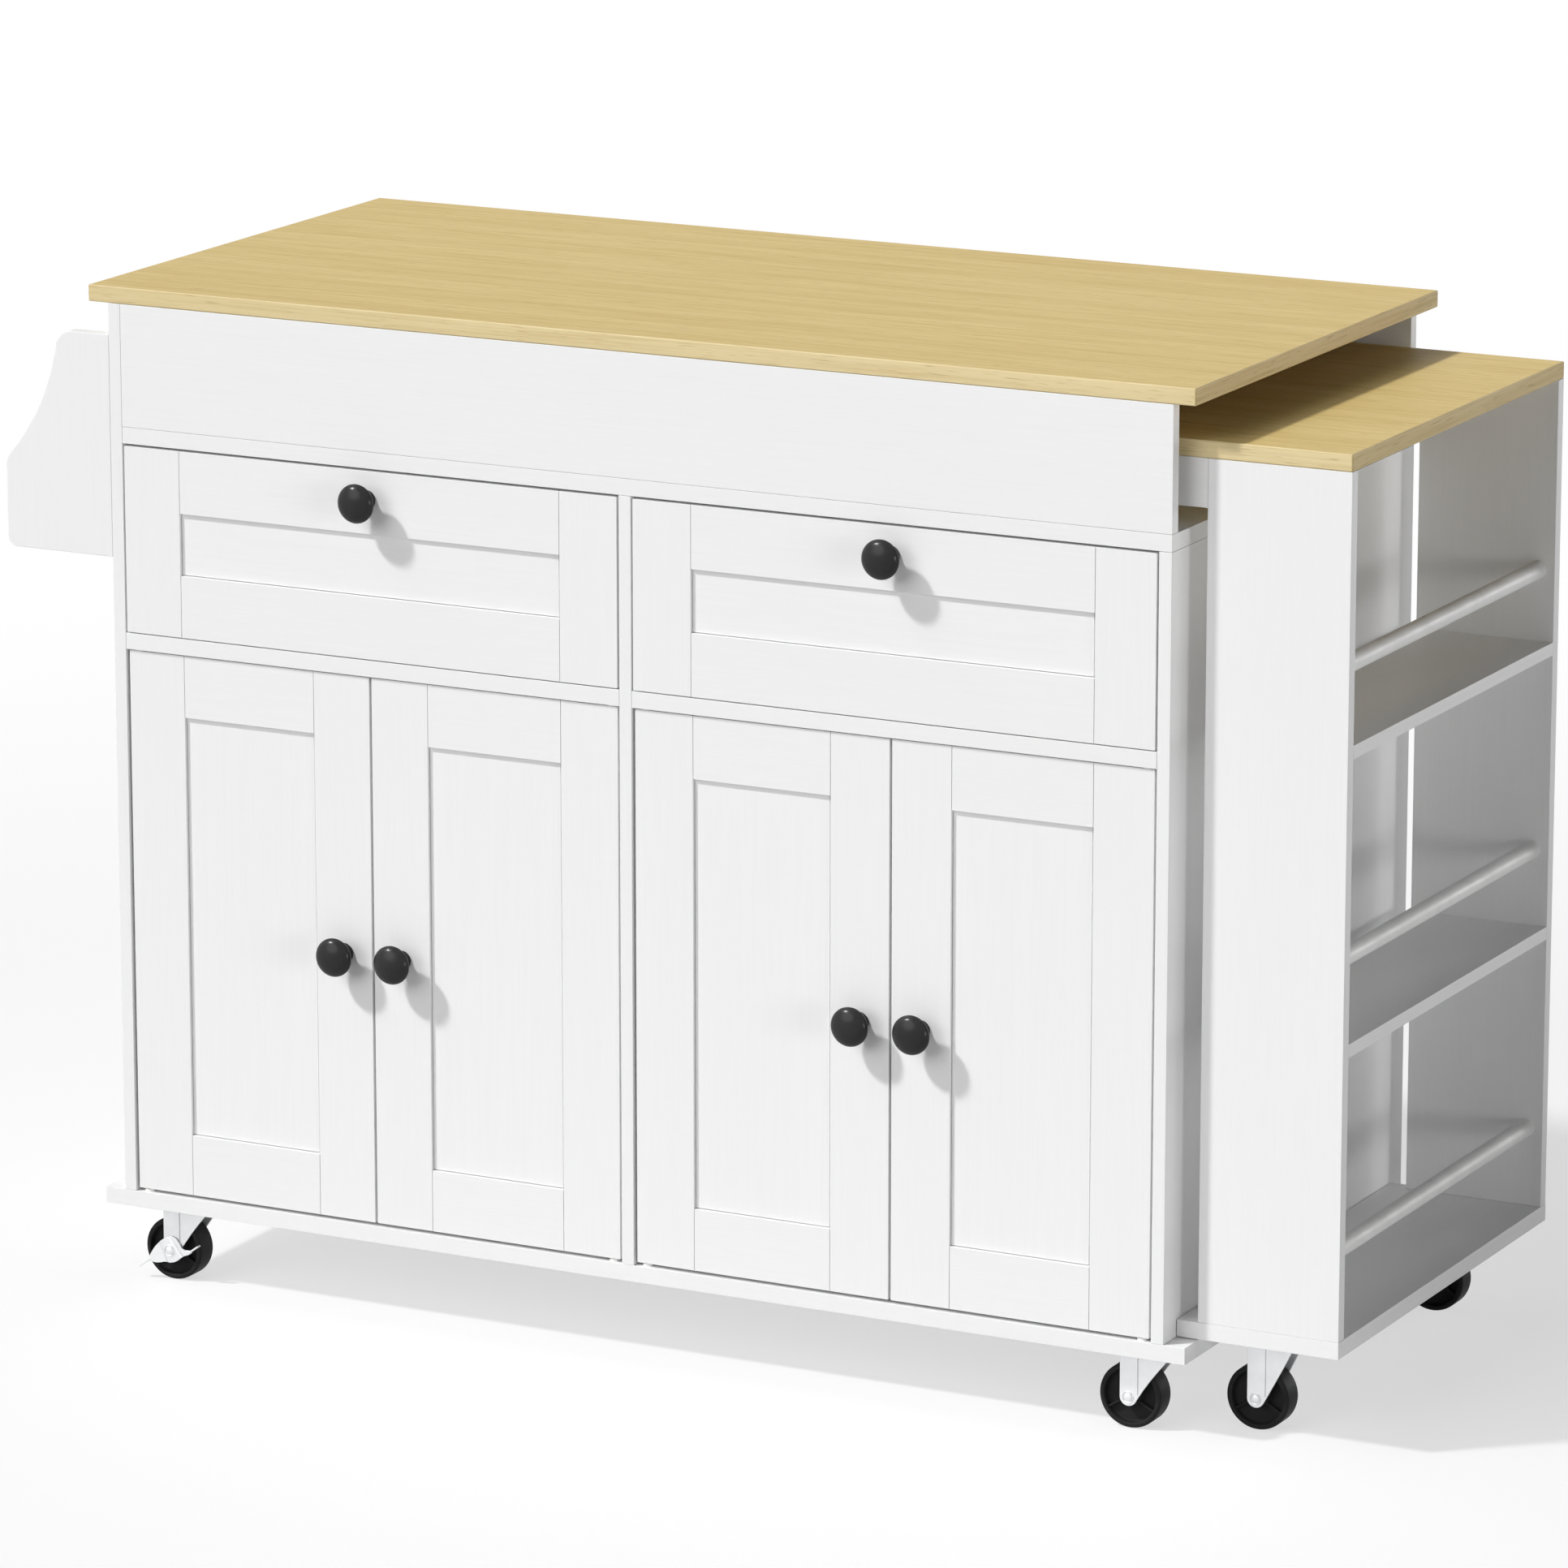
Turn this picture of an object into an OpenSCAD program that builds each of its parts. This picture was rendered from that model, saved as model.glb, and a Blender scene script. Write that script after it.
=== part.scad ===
// Kitchen island on casters: a two-bay cabinet with drawers and doors, a towel rack on its left
// side, and an extension unit with its own top and casters that slides out at its right side.
// Millimetres, +Z up, front towards -Y. Inside the modules x is measured from the outer face of
// the left side panel, y from the front of the cabinet and z from the floor. The module placed()
// then moves every piece, so that the origin lies on the floor under the middle of the whole.

/* [Cabinet] */
// Clear width of each cabinet bay
bay_w = 497; // [440:1:560]
// Depth of the cabinet, front to back
cabinet_d = 515; // [500:1:600]
// Thickness of the side panels and the centre divider
panel_t = 12; // [12:0.5:18]
// Thickness of the base board
base_t = 15; // [12:0.5:18]
// Thickness of the rail between drawer and doors
mid_rail_t = 15; // [12:0.5:18]
// Depth of the rail between drawer and doors
mid_rail_d = 60; // [50:1:90]
// Thickness of the deck board under the slot
deck_t = 15; // [12:0.5:18]
// Thickness of the worktop
worktop_t = 15; // [12:0.5:18]
// Thickness of the front and rear fascias
fascia_t = 12; // [10:0.5:14]
// Clear height behind the doors
door_bay_h = 501; // [470:1:540]
// Clear height behind the drawer fronts
drawer_bay_h = 171; // [165:1:190]
// Height of the slot that the extension top slides in
slot_h = 110; // [106:1:125]
// Overhang of the worktop at each side
top_overhang = 20; // [10:1:30]
// Overhang of the base board at each side
base_overhang = 20; // [10:1:30]
// Thickness of the back panels
back_t = 5; // [3:0.5:8]
// Inset of the back panels from the rear edges
back_inset = 3; // [1:0.5:6]

/* [Doors] */
// Thickness of the door frame
door_t = 15; // [14:0.5:16]
// How far the doors lie behind the cabinet's front edges
door_recess = 2; // [1:0.5:4]
// Gap at the hinge side of a door
door_side_gap = 2.5; // [2.5:0.1:3.5]
// Gap between the two doors of a bay
door_mid_gap = 2.5; // [2:0.1:4]
// Gap under a door
door_bottom_gap = 2.5; // [2:0.1:4]
// Gap over a door
door_top_gap = 1.5; // [1.4:0.1:3]
// Width of the frame's upright stiles
stile_w = 56; // [45:1:65]
// Width of the frame's rails
rail_w = 56; // [45:1:65]
// Thin joint line between a stile and a rail
joint_line = 0.3; // [0.1:0.05:0.5]
// Thickness of the sunk panel in a frame
sunk_panel_t = 5; // [4:0.5:6]
// Depth of the sunk panel behind the frame's face
sunk_depth = 3; // [2:0.5:5]
// Pivot pin diameter
pivot_d = 4; // [3:0.5:5]
// Distance of the pivot from the door's outer edge
pivot_inset = 8; // [7.5:0.5:10]
// Distance of the pivot behind the door's face
pivot_depth = 5; // [4.5:0.25:5.25]
// Depth that a pivot pin reaches into the door
pivot_grip = 20; // [12:1:30]
// Depth that a pivot bush reaches into its board
bush_depth = 9; // [6:0.5:10]
// Wall of a pivot bush
bush_wall = 1.5; // [1:0.1:2]
// Running clearance round a pin, on the radius
running_fit = 0.05; // [0.02:0.01:0.09]

/* [Knobs] */
// Diameter of a knob's head
knob_d = 35; // [28:1:38]
// Diameter of a knob's foot
knob_foot_d = 18; // [14:1:20]
// How far a knob stands out
knob_projection = 27.5; // [24:0.5:30]
// Height of a knob's head, front to back
knob_head_h = 13.5; // [11:0.5:15]
// Height of the door knobs above the base board
door_knob_rise = 248; // [150:1:330]
// Drop of the drawer knobs below the top of the drawer front
drawer_knob_drop = 26; // [24:1:30]

/* [Drawers] */
// Gap at each side of a drawer front
drawer_side_gap = 1.8; // [1:0.1:3]
// Gap under and over a drawer front
drawer_gap = 1.5; // [1:0.1:3]
// Thickness of a drawer front
drawer_front_t = 15; // [14:0.5:18]
// Width of the rails of a drawer front
drawer_rail_w = 56; // [48:1:58]
// Height of a drawer box
drawer_box_h = 112; // [90:1:125]
// Length of a drawer box behind its front
drawer_box_d = 440; // [410:1:450]
// Thickness of a drawer box's boards
drawer_box_t = 12; // [9:0.5:15]
// Thickness of a drawer's bottom
drawer_bottom_t = 4; // [3:0.5:6]
// Height of a drawer box above the rail under it
drawer_box_rise = 18; // [12:1:22]
// Room for the runner at each side of a drawer box
runner_room = 12.7; // [12:0.1:15]
// Height of a drawer runner
runner_h = 36; // [30:1:45]
// Length of a drawer runner
runner_l = 400; // [350:1:405]
// Wall of a drawer runner
runner_wall = 1.5; // [1:0.1:2]
// Clearance between the two halves of a runner
runner_clear = 0.4; // [0.3:0.05:0.6]

/* [Inside the cabinet] */
// Height of the inner shelves above the base board
inner_shelf_rise = 245; // [150:1:350]
// Thickness of the inner shelves
inner_shelf_t = 12; // [10:0.5:16]
// Gap at each end of an inner shelf
inner_shelf_gap = 1; // [0.5:0.1:2]
// Distance of an inner shelf behind the doors
inner_shelf_setback = 15; // [5:1:60]
// Diameter of a shelf pin
shelf_pin_d = 5; // [4:0.5:6]
// Length of a shelf pin that stands out of the panel
shelf_pin_out = 9; // [7:0.5:12]
// Depth of a shelf pin in its panel
shelf_pin_in = 5; // [3:0.5:5.5]
// Inset of the shelf pins from the shelf's front and rear edges
shelf_pin_inset = 50; // [30:1:80]
// Length of a magnetic door catch
catch_l = 46; // [36:1:60]
// Depth of a magnetic door catch
catch_d = 14; // [10:1:20]
// Height of a magnetic door catch
catch_h = 12; // [8:1:16]

/* [Towel rack] */
// How far the rack reaches out from the cabinet
rack_reach = 109; // [95:1:125]
// Width of the rack panel's top edge
rack_top_w = 55; // [45:1:65]
// Height of the rack panel at the cabinet
rack_h = 200; // [170:1:220]
// Drop of the rack panel below the worktop
rack_drop = 28.5; // [10:0.5:60]
// Thickness of the rack panels
rack_t = 12; // [10:0.5:16]
// Radius of the rack panel's upper outer corner
rack_top_r = 17; // [12:1:22]
// Radius of the rack panel's shoulder
rack_shoulder_r = 20; // [12:1:25]
// Radius of the rack panel's lower outer corner
rack_bottom_r = 10; // [5:1:16]
// Diameter of the towel rod
towel_rod_d = 16; // [12:0.5:20]
// Distance of the towel rod from the cabinet
towel_rod_out = 90; // [60:1:94]
// Height of the towel rod above the rack panel's lower edge
towel_rod_rise = 32; // [20:1:60]
// Depth that a round rail is let into its panel
rail_socket = 5; // [3:0.5:8]

/* [Extension unit] */
// Width of the extension's front and rear panels
ext_w = 130; // [110:1:160]
// Clear gap between the cabinet's side and those panels
ext_gap = 20; // [16:1:30]
// Distance of the extension's faces behind the cabinet's front and rear
ext_inset_front = 26; // [20:1:34]
// The same at the rear
ext_inset_rear = 25; // [20:1:34]
// Thickness of the extension's panels and shelves
ext_panel_t = 12; // [10:0.5:15]
// Thickness of the extension's base board
ext_base_t = 15; // [12:0.5:18]
// Thickness of the extension's top
ext_top_t = 15; // [12:0.5:18]
// Gap between the worktop and the extension's top
ext_top_drop = 33; // [25:1:38]
// Length of the extension's top that lies inside the cabinet when closed
ext_reserve = 650; // [600:1:760]
// Height of the apron rails under the extension's top
apron_h = 42; // [35:1:50]
// Gap between the extension's base board and the cabinet's base board
base_slide_gap = 1; // [0.6:0.1:2]
// Gap between the extension's base board and the cabinet's side
ext_side_gap = 0.6; // [0.5:0.1:2]
// Clear height of the lowest tier
tier_low_h = 246; // [200:1:260]
// Clear height of the middle tier
tier_mid_h = 245; // [200:1:260]
// Diameter of the three guard rails
guard_rail_d = 16; // [12:0.5:18]
// Inset of the guard rails from the panels' outer edges
guard_rail_inset = 16; // [12:1:24]
// Height of the lowest guard rail above the base board
guard_low_rise = 72; // [50:0.5:120]
// Height of the middle guard rail above its shelf
guard_mid_rise = 68.5; // [50:0.5:120]
// Height of the top guard rail above its shelf
guard_top_rise = 63.5; // [50:0.5:120]
// Width of the guide strips on the deck
guide_w = 12; // [8:1:16]
// Height of the guide strips on the deck
guide_h = 30; // [22:1:34]
// Gap between a guide strip and its apron rail
guide_gap = 0.8; // [0.4:0.1:1.5]
// Distance of the guide strips' ends from the deck's open end
guide_inset = 20; // [10:1:60]
// Length of a glide block under an apron rail
glide_l = 60; // [40:1:80]
// How far the extension pulls out
ext_travel = 500; // [300:10:520]
// Height of the blocks that stop the glides
stop_h = 15; // [10:1:16]
// Length of those blocks
stop_l = 18; // [12:1:40]
// Gap between the guide strips and the rail across the aprons' inner end
cross_rail_gap = 3; // [1:0.5:8]
// Gap between a glide block and the deck
glide_gap = 0.2; // [0.1:0.05:0.5]

/* [Casters] */
// Height of the cabinet's base board above the floor
caster_h = 72; // [70:1:84]
// Wheel diameter
wheel_d = 58; // [50:1:60]
// Wheel width
wheel_w = 23; // [18:0.5:26]
// Depth of the dish in each face of a wheel
wheel_dish = 6; // [3:0.5:8]
// Thickness of a wheel's rim
wheel_rim_t = 5; // [4:0.5:7]
// Diameter of a wheel's hub
wheel_hub_d = 18; // [16:1:22]
// Thickness of the three ribs of a wheel
wheel_rib_t = 1.5; // [1:0.1:2.5]
// Distance of the wheel's axle behind the swivel pin
caster_trail = 14; // [10:1:18]
// Diameter of the axle
axle_d = 6; // [5:0.5:8]
// Diameter of the axle's rivet heads
rivet_d = 10.4; // [9:0.2:12]
// Height of a rivet head
rivet_h = 2; // [1.5:0.1:2.5]
// Gap between the wheel and the fork's legs
fork_gap = 1.5; // [1:0.1:3]
// Thickness of the fork's sheet steel
fork_t = 2; // [1.5:0.1:2.5]
// Width of the fork's straight front leg
fork_leg_w = 16; // [13:0.5:18]
// Diameter of the swivel pin
king_pin_d = 8; // [6:0.5:10]
// Side of a caster's square mounting plate
plate_side = 42; // [40:1:46]
// Thickness of a mounting plate
plate_t = 2; // [1.5:0.1:2.5]
// Diameter of the swivel race
race_d = 32; // [24:1:34]
// Height of the swivel race
race_h = 3; // [2:0.1:3.2]
// Gap between race and fork
race_gap = 0.3; // [0.2:0.05:0.5]
// Spacing of the mounting screws
screw_spacing = 32; // [31:0.5:33]
// Diameter of a mounting screw
screw_d = 4; // [3:0.5:4.5]
// Depth that a mounting screw reaches into its board
screw_grip = 9; // [6:0.5:10]
// Distance of the left casters' axles from the left side panel's face
caster_left_x = 35; // [30:1:80]
// Distance of the right casters' axles from the right side panel's face
caster_right_x = 42; // [36:1:80]
// Inset of the cabinet's casters from the front and rear edges
caster_inset = 36; // [28:1:60]
// Inset of the extension's front caster from its front face
ext_caster_front = 55; // [30:1:80]
// Inset of the extension's rear caster from its rear face
ext_caster_rear = 24; // [24:1:80]
// Distance of the extension's swivel pins from its right edge
ext_caster_x = 79; // [46:1:79]

/* [Brake levers] */
// Thickness of the brake lever's sheet
lever_t = 1.5; // [1:0.1:2]
// Clearance at each side of the brake lever
lever_gap = 0.3; // [0.2:0.05:0.5]
// Length of the foot pad at each end of the lever
pad_l = 13; // [8:1:14]
// Depth of the foot pads, away from the wheel
pad_d = 5; // [3:0.5:8]
// Slope of the foot pads
pad_slope = 36; // [20:1:40]

/* [Hidden] */

// Finishes
white = "#efefee";
oak = "#dcc98f";
black = "#232323";
steel = "#c8cacb";
plastic = "#f4f4f2";

// Facets of large and small round shapes
smooth = 96;
fine = 48;
// Thin gap that keeps two glued or screwed pieces apart
seat = 0.1;

// Levels from the floor up
base_top = caster_h + base_t;
mid_z = base_top + door_bay_h;
mid_top = mid_z + mid_rail_t;
deck_z = mid_top + drawer_bay_h;
deck_top = deck_z + deck_t;
top_z = deck_top + slot_h;

// Places across the cabinet
cabinet_w = 3 * panel_t + 2 * bay_w;
function bay_x(bay) = panel_t + bay * (bay_w + panel_t);

// Doors: size, left edges and pivots
door_w = (bay_w - 2 * door_side_gap - door_mid_gap) / 2;
door_z = base_top + door_bottom_gap;
door_h = door_bay_h - door_bottom_gap - door_top_gap;
function door_x(door) = bay_x(floor(door / 2)) + door_side_gap + (door % 2) * (door_w + door_mid_gap);
function hinged_left(door) = door % 2 == 0;
function pivot_x(door) = door_x(door) + (hinged_left(door) ? pivot_inset : door_w - pivot_inset);
pivot_y = door_recess + pivot_depth;
bush_d = pivot_d + 2 * (running_fit + bush_wall);
bush_lip = 1;

// Drawers
drawer_front_w = bay_w - 2 * drawer_side_gap;
drawer_front_z = mid_top + drawer_gap;
drawer_front_h = drawer_bay_h - 2 * drawer_gap;
drawer_box_z = mid_top + drawer_box_rise;
drawer_box_w = bay_w - 2 * runner_room;
runner_z = drawer_box_z + (drawer_box_h - runner_h) / 2;
runner_y = drawer_front_t + 5;

// Inner shelves
inner_shelf_z = base_top + inner_shelf_rise;
inner_shelf_y = door_recess + door_t + inner_shelf_setback;
inner_shelf_rear = cabinet_d - back_inset - back_t - inner_shelf_gap;

// Towel rack: outline and its curve
rack_curve_start = 10;
rack_curve_end = 42;
rack_curve_r = (rack_reach - rack_top_w - rack_shoulder_r * (1 - cos(rack_curve_end)))
    / (cos(rack_curve_start) - cos(rack_curve_end));
rack_z = top_z - rack_drop - rack_h;

// Extension unit
ext_x = cabinet_w + ext_gap;
ext_right = ext_x + ext_w;
ext_front = ext_inset_front;
ext_rear = cabinet_d - ext_inset_rear;
ext_base_z = base_top + base_slide_gap;
ext_base_top = ext_base_z + ext_base_t;
ext_top_z = top_z - ext_top_drop - ext_top_t;
ext_top_x = cabinet_w - ext_reserve;
shelf_low_z = ext_base_top + tier_low_h;
shelf_top_z = shelf_low_z + ext_panel_t + tier_mid_h;
apron_z = ext_top_z - apron_h;

// Casters: swivel pin's x and y, and the underside of the board above
pin_left_x = caster_left_x + caster_trail;
pin_right_x = cabinet_w - caster_right_x + caster_trail;
CASTERS = [
    [pin_left_x, caster_inset, caster_h],
    [pin_left_x, cabinet_d - caster_inset, caster_h],
    [pin_right_x, caster_inset, caster_h],
    [pin_right_x, cabinet_d - caster_inset, caster_h],
    [ext_right - ext_caster_x, ext_front + ext_caster_front, ext_base_z],
    [ext_right - ext_caster_x, ext_rear - ext_caster_rear, ext_base_z]
];
wheel_r = wheel_d / 2;
leg_in = wheel_w / 2 + fork_gap;
leg_out = leg_in + fork_t;
screw_head_d = 2 * screw_d - 1;
screw_head_h = 1.6;

// The middle of the whole object, seen from above
middle_x = (ext_right - max(rack_reach, top_overhang)) / 2;
middle_y = (cabinet_d - knob_projection) / 2;

module placed() {
    translate([-middle_x, -middle_y, 0]) children();
}

// A box from its low corner to its high corner
module board(low, high) {
    translate(low) cube(high - low);
}

function polar(a) = [cos(a), sin(a)];

// Points on an arc in a plane
function arc(centre, r, from, to, steps = 8) =
    [for (i = [0:steps]) centre + r * polar(from + (to - from) * i / steps)];

// An upright prism whose outline lies in x and z, from y = 0 to y = depth
module slab_xz(depth) {
    translate([0, depth, 0]) rotate([90, 0, 0]) linear_extrude(depth) children();
}

// A round bar along y, from its front end's centre
module bar_y(d, length, facets = smooth) {
    rotate([-90, 0, 0]) cylinder(d = d, h = length, $fn = facets);
}

// A cylinder along z from its lower end
module pin_z(d, length, facets = fine) {
    cylinder(d = d, h = length, $fn = facets);
}

// ---- Cabinet ----

module base_board() {
    color(white) placed() difference() {
        board([-base_overhang, 0, caster_h], [cabinet_w + base_overhang, cabinet_d, base_top]);
        for (door = [0:3]) translate([pivot_x(door), pivot_y, base_top - bush_depth])
            pin_z(bush_d + 2 * running_fit, bush_depth + 1);
        for (i = [0:3]) screw_holes(CASTERS[i]);
    }
}

module left_side_panel() {
    color(white) placed() difference() {
        board([0, 0, base_top], [panel_t, cabinet_d, top_z]);
        shelf_pin_holes(panel_t, -1);
    }
}

module right_side_panel() {
    color(white) placed() difference() {
        board([cabinet_w - panel_t, 0, base_top], [cabinet_w, cabinet_d, deck_z]);
        shelf_pin_holes(cabinet_w - panel_t, 1);
    }
}

module center_divider() {
    color(white) placed() difference() {
        board([bay_x(0) + bay_w, 0, base_top], [bay_x(1), cabinet_d, deck_z]);
        shelf_pin_holes(bay_x(0) + bay_w, 1);
        shelf_pin_holes(bay_x(1), -1);
    }
}

module deck_board() {
    color(white) placed() board([panel_t, 0, deck_z], [cabinet_w, cabinet_d, deck_top]);
}

module mid_rails() {
    color(white) placed() for (bay = [0, 1]) difference() {
        board([bay_x(bay), 0, mid_z], [bay_x(bay) + bay_w, mid_rail_d, mid_top]);
        for (door = [2 * bay, 2 * bay + 1]) translate([pivot_x(door), pivot_y, mid_z - 1])
            pin_z(bush_d + 2 * running_fit, bush_depth + 1);
    }
}

module fascia(y) {
    board([panel_t, y, deck_top], [cabinet_w, y + fascia_t, top_z]);
}

module front_fascia() {
    color(white) placed() fascia(0);
}

module rear_fascia() {
    color(white) placed() fascia(cabinet_d - fascia_t);
}

module back_panels() {
    color(white) placed() for (bay = [0, 1])
        board([bay_x(bay), cabinet_d - back_inset - back_t, base_top],
              [bay_x(bay) + bay_w, cabinet_d - back_inset, deck_z]);
}

module worktop() {
    color(oak) placed()
        board([-top_overhang, 0, top_z], [cabinet_w + top_overhang, cabinet_d, top_z + worktop_t]);
}

module inner_shelves() {
    color(white) placed() for (bay = [0, 1])
        board([bay_x(bay) + inner_shelf_gap, inner_shelf_y, inner_shelf_z],
              [bay_x(bay) + bay_w - inner_shelf_gap, inner_shelf_rear, inner_shelf_z + inner_shelf_t]);
}

// The front and rear pin places, and the pins' height under the shelf
shelf_pin_ys = [inner_shelf_y + shelf_pin_inset, inner_shelf_rear - shelf_pin_inset];
shelf_pin_z = inner_shelf_z - shelf_pin_d / 2 - seat;

// Blind holes in the panel face at x, drilled towards +x (side 1) or -x (side -1)
module shelf_pin_holes(x, side) {
    for (y = shelf_pin_ys) translate([x, y, shelf_pin_z]) rotate([0, side * 90, 0])
        translate([0, 0, -1]) pin_z(shelf_pin_d + 2 * running_fit, shelf_pin_in + seat + 1);
}

module shelf_pins() {
    color(steel) placed() for (bay = [0, 1], y = shelf_pin_ys) {
        translate([bay_x(bay) - shelf_pin_in, y, shelf_pin_z]) rotate([0, 90, 0])
            pin_z(shelf_pin_d, shelf_pin_in + shelf_pin_out);
        translate([bay_x(bay) + bay_w + shelf_pin_in, y, shelf_pin_z]) rotate([0, -90, 0])
            pin_z(shelf_pin_d, shelf_pin_in + shelf_pin_out);
    }
}

// ---- Door hardware: pivot bushes in the boards, and magnetic catches under the mid rails ----

module pivot_bush(lip_h) {
    difference() {
        union() {
            translate([0, 0, -bush_depth + seat]) pin_z(bush_d, bush_depth);
            pin_z(bush_d + 2 * bush_lip, lip_h);
        }
        translate([0, 0, -bush_depth]) pin_z(pivot_d + 2 * running_fit, bush_depth + lip_h + 1);
    }
}

module door_hardware() {
    lip_low = door_bottom_gap - 0.2;
    lip_high = door_top_gap - 0.2;
    color(plastic) placed() {
        for (door = [0:3]) {
            translate([pivot_x(door), pivot_y, base_top]) pivot_bush(lip_low);
            translate([pivot_x(door), pivot_y, mid_z]) mirror([0, 0, 1]) pivot_bush(lip_high);
        }
        for (bay = [0, 1]) {
            x = bay_x(bay) + bay_w / 2;
            y = door_recess + door_t + seat;
            board([x - catch_l / 2, y, mid_z - catch_h], [x + catch_l / 2, y + catch_d, mid_z]);
        }
    }
}

// ---- Towel rack ----

// Outline of a rack panel, outwards from the cabinet and up from its lower edge
function rack_outline() = let (
    corner = [rack_top_w - rack_top_r * cos(rack_curve_start), rack_h - rack_top_r],
    curve_top = corner + rack_top_r * polar(rack_curve_start),
    curve = curve_top + rack_curve_r * polar(rack_curve_start),
    curve_end = curve - rack_curve_r * polar(rack_curve_end),
    shoulder = curve_end - rack_shoulder_r * polar(rack_curve_end)
) concat(
    [[0, 0]],
    arc([rack_reach - rack_bottom_r, rack_bottom_r], rack_bottom_r, -90, 0),
    arc(shoulder, rack_shoulder_r, 0, rack_curve_end, 6),
    [for (i = [11:-1:1])
        curve - rack_curve_r * polar(rack_curve_start + (rack_curve_end - rack_curve_start) * i / 12)],
    arc(corner, rack_top_r, rack_curve_start, 90),
    [[0, rack_h]]
);

module rack_panel() {
    mirror([1, 0, 0]) difference() {
        slab_xz(rack_t) polygon(rack_outline());
        translate([towel_rod_out, rack_t - rail_socket, towel_rod_rise])
            bar_y(towel_rod_d + 2 * running_fit, rail_socket + 1);
    }
}

module rack_panels() {
    color(white) placed() {
        translate([0, 0, rack_z]) rack_panel();
        translate([0, cabinet_d, rack_z]) mirror([0, 1, 0]) rack_panel();
    }
}

module towel_rod() {
    color(white) placed()
        translate([-towel_rod_out, rack_t - rail_socket + seat, rack_z + towel_rod_rise])
        bar_y(towel_rod_d, cabinet_d - 2 * (rack_t - rail_socket + seat));
}

// ---- Slide-out extension ----

module extension_top() {
    color(oak) placed()
        board([ext_top_x, ext_front, ext_top_z], [ext_right, ext_rear, ext_top_z + ext_top_t]);
}

// Front and rear apron rails and the cross rail at the inner end
module extension_aprons() {
    color(white) placed() {
        board([ext_top_x, ext_front, apron_z], [ext_x, ext_front + ext_panel_t, ext_top_z]);
        board([ext_top_x, ext_rear - ext_panel_t, apron_z], [ext_x, ext_rear, ext_top_z]);
        board([ext_top_x, ext_front + ext_panel_t + seat, deck_top + guide_h + cross_rail_gap],
              [ext_top_x + ext_panel_t, ext_rear - ext_panel_t - seat, ext_top_z]);
    }
}

// Blind sockets for the guard rails, from the inner face at y, drilled along side
module guard_sockets(y, side) {
    for (z = guard_zs) translate([ext_right - guard_rail_inset, y, z])
        rotate([-90 * side, 0, 0]) translate([0, 0, -1])
        cylinder(d = guard_rail_d + 2 * running_fit, h = rail_socket + seat + 1, $fn = smooth);
}

module extension_panels() {
    color(white) placed() {
        difference() {
            board([ext_x, ext_front, ext_base_top], [ext_right, ext_front + ext_panel_t, ext_top_z]);
            guard_sockets(ext_front + ext_panel_t, -1);
        }
        difference() {
            board([ext_x, ext_rear - ext_panel_t, ext_base_top], [ext_right, ext_rear, ext_top_z]);
            guard_sockets(ext_rear - ext_panel_t, 1);
        }
    }
}

module extension_shelves() {
    color(white) placed() for (z = [shelf_low_z, shelf_top_z])
        board([ext_x, ext_front + ext_panel_t, z], [ext_right, ext_rear - ext_panel_t, z + ext_panel_t]);
}

module extension_base() {
    color(white) placed() difference() {
        board([cabinet_w + ext_side_gap, ext_front, ext_base_z], [ext_right, ext_rear, ext_base_top]);
        for (i = [4, 5]) screw_holes(CASTERS[i]);
    }
}

guard_zs = [ext_base_top + guard_low_rise, shelf_low_z + ext_panel_t + guard_mid_rise,
            shelf_top_z + ext_panel_t + guard_top_rise];

module extension_rails() {
    color(white) placed() for (z = guard_zs)
        translate([ext_right - guard_rail_inset, ext_front + ext_panel_t - rail_socket, z])
        bar_y(guard_rail_d, ext_rear - ext_front - 2 * (ext_panel_t - rail_socket));
}

// Glide blocks that carry the inner end of the extension's top on the deck
module extension_glides() {
    color(plastic) placed() for (y = [ext_front, ext_rear - ext_panel_t])
        board([ext_top_x, y, deck_top + glide_gap], [ext_top_x + glide_l, y + ext_panel_t, apron_z]);
}

// Strips on the deck that the apron rails run along, and the blocks that stop the glides
module slide_guides() {
    y_front = ext_front + ext_panel_t + guide_gap;
    y_rear = ext_rear - ext_panel_t - guide_gap - guide_w;
    stop_x = ext_top_x + glide_l + ext_travel + 2;
    color(white) placed() {
        for (y = [y_front, y_rear])
            board([panel_t, y, deck_top], [cabinet_w - guide_inset, y + guide_w, deck_top + guide_h]);
        for (y = [ext_front, ext_rear - ext_panel_t])
            board([stop_x, y, deck_top], [stop_x + stop_l, y + ext_panel_t, deck_top + stop_h]);
    }
}

// ---- Shaker fronts: two stiles, two rails and a sunk panel ----

module shaker_frame(w, h, t, rail) {
    board([0, 0, 0], [stile_w, t, h]);
    board([w - stile_w, 0, 0], [w, t, h]);
    for (z = [0, h - rail])
        board([stile_w + joint_line, 0, z], [w - stile_w - joint_line, t, z + rail]);
}

module shaker_panel(w, h, rail) {
    edge = joint_line;
    board([stile_w + edge, sunk_depth, rail + edge],
          [w - stile_w - edge, sunk_depth + sunk_panel_t, h - rail - edge]);
}

module at_drawer(bay) {
    placed() translate([bay_x(bay) + drawer_side_gap, 0, drawer_front_z]) children();
}

module drawer_front(bay) {
    color(white) at_drawer(bay) {
        shaker_frame(drawer_front_w, drawer_front_h, drawer_front_t, drawer_rail_w);
        shaker_panel(drawer_front_w, drawer_front_h, drawer_rail_w);
    }
}

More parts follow.
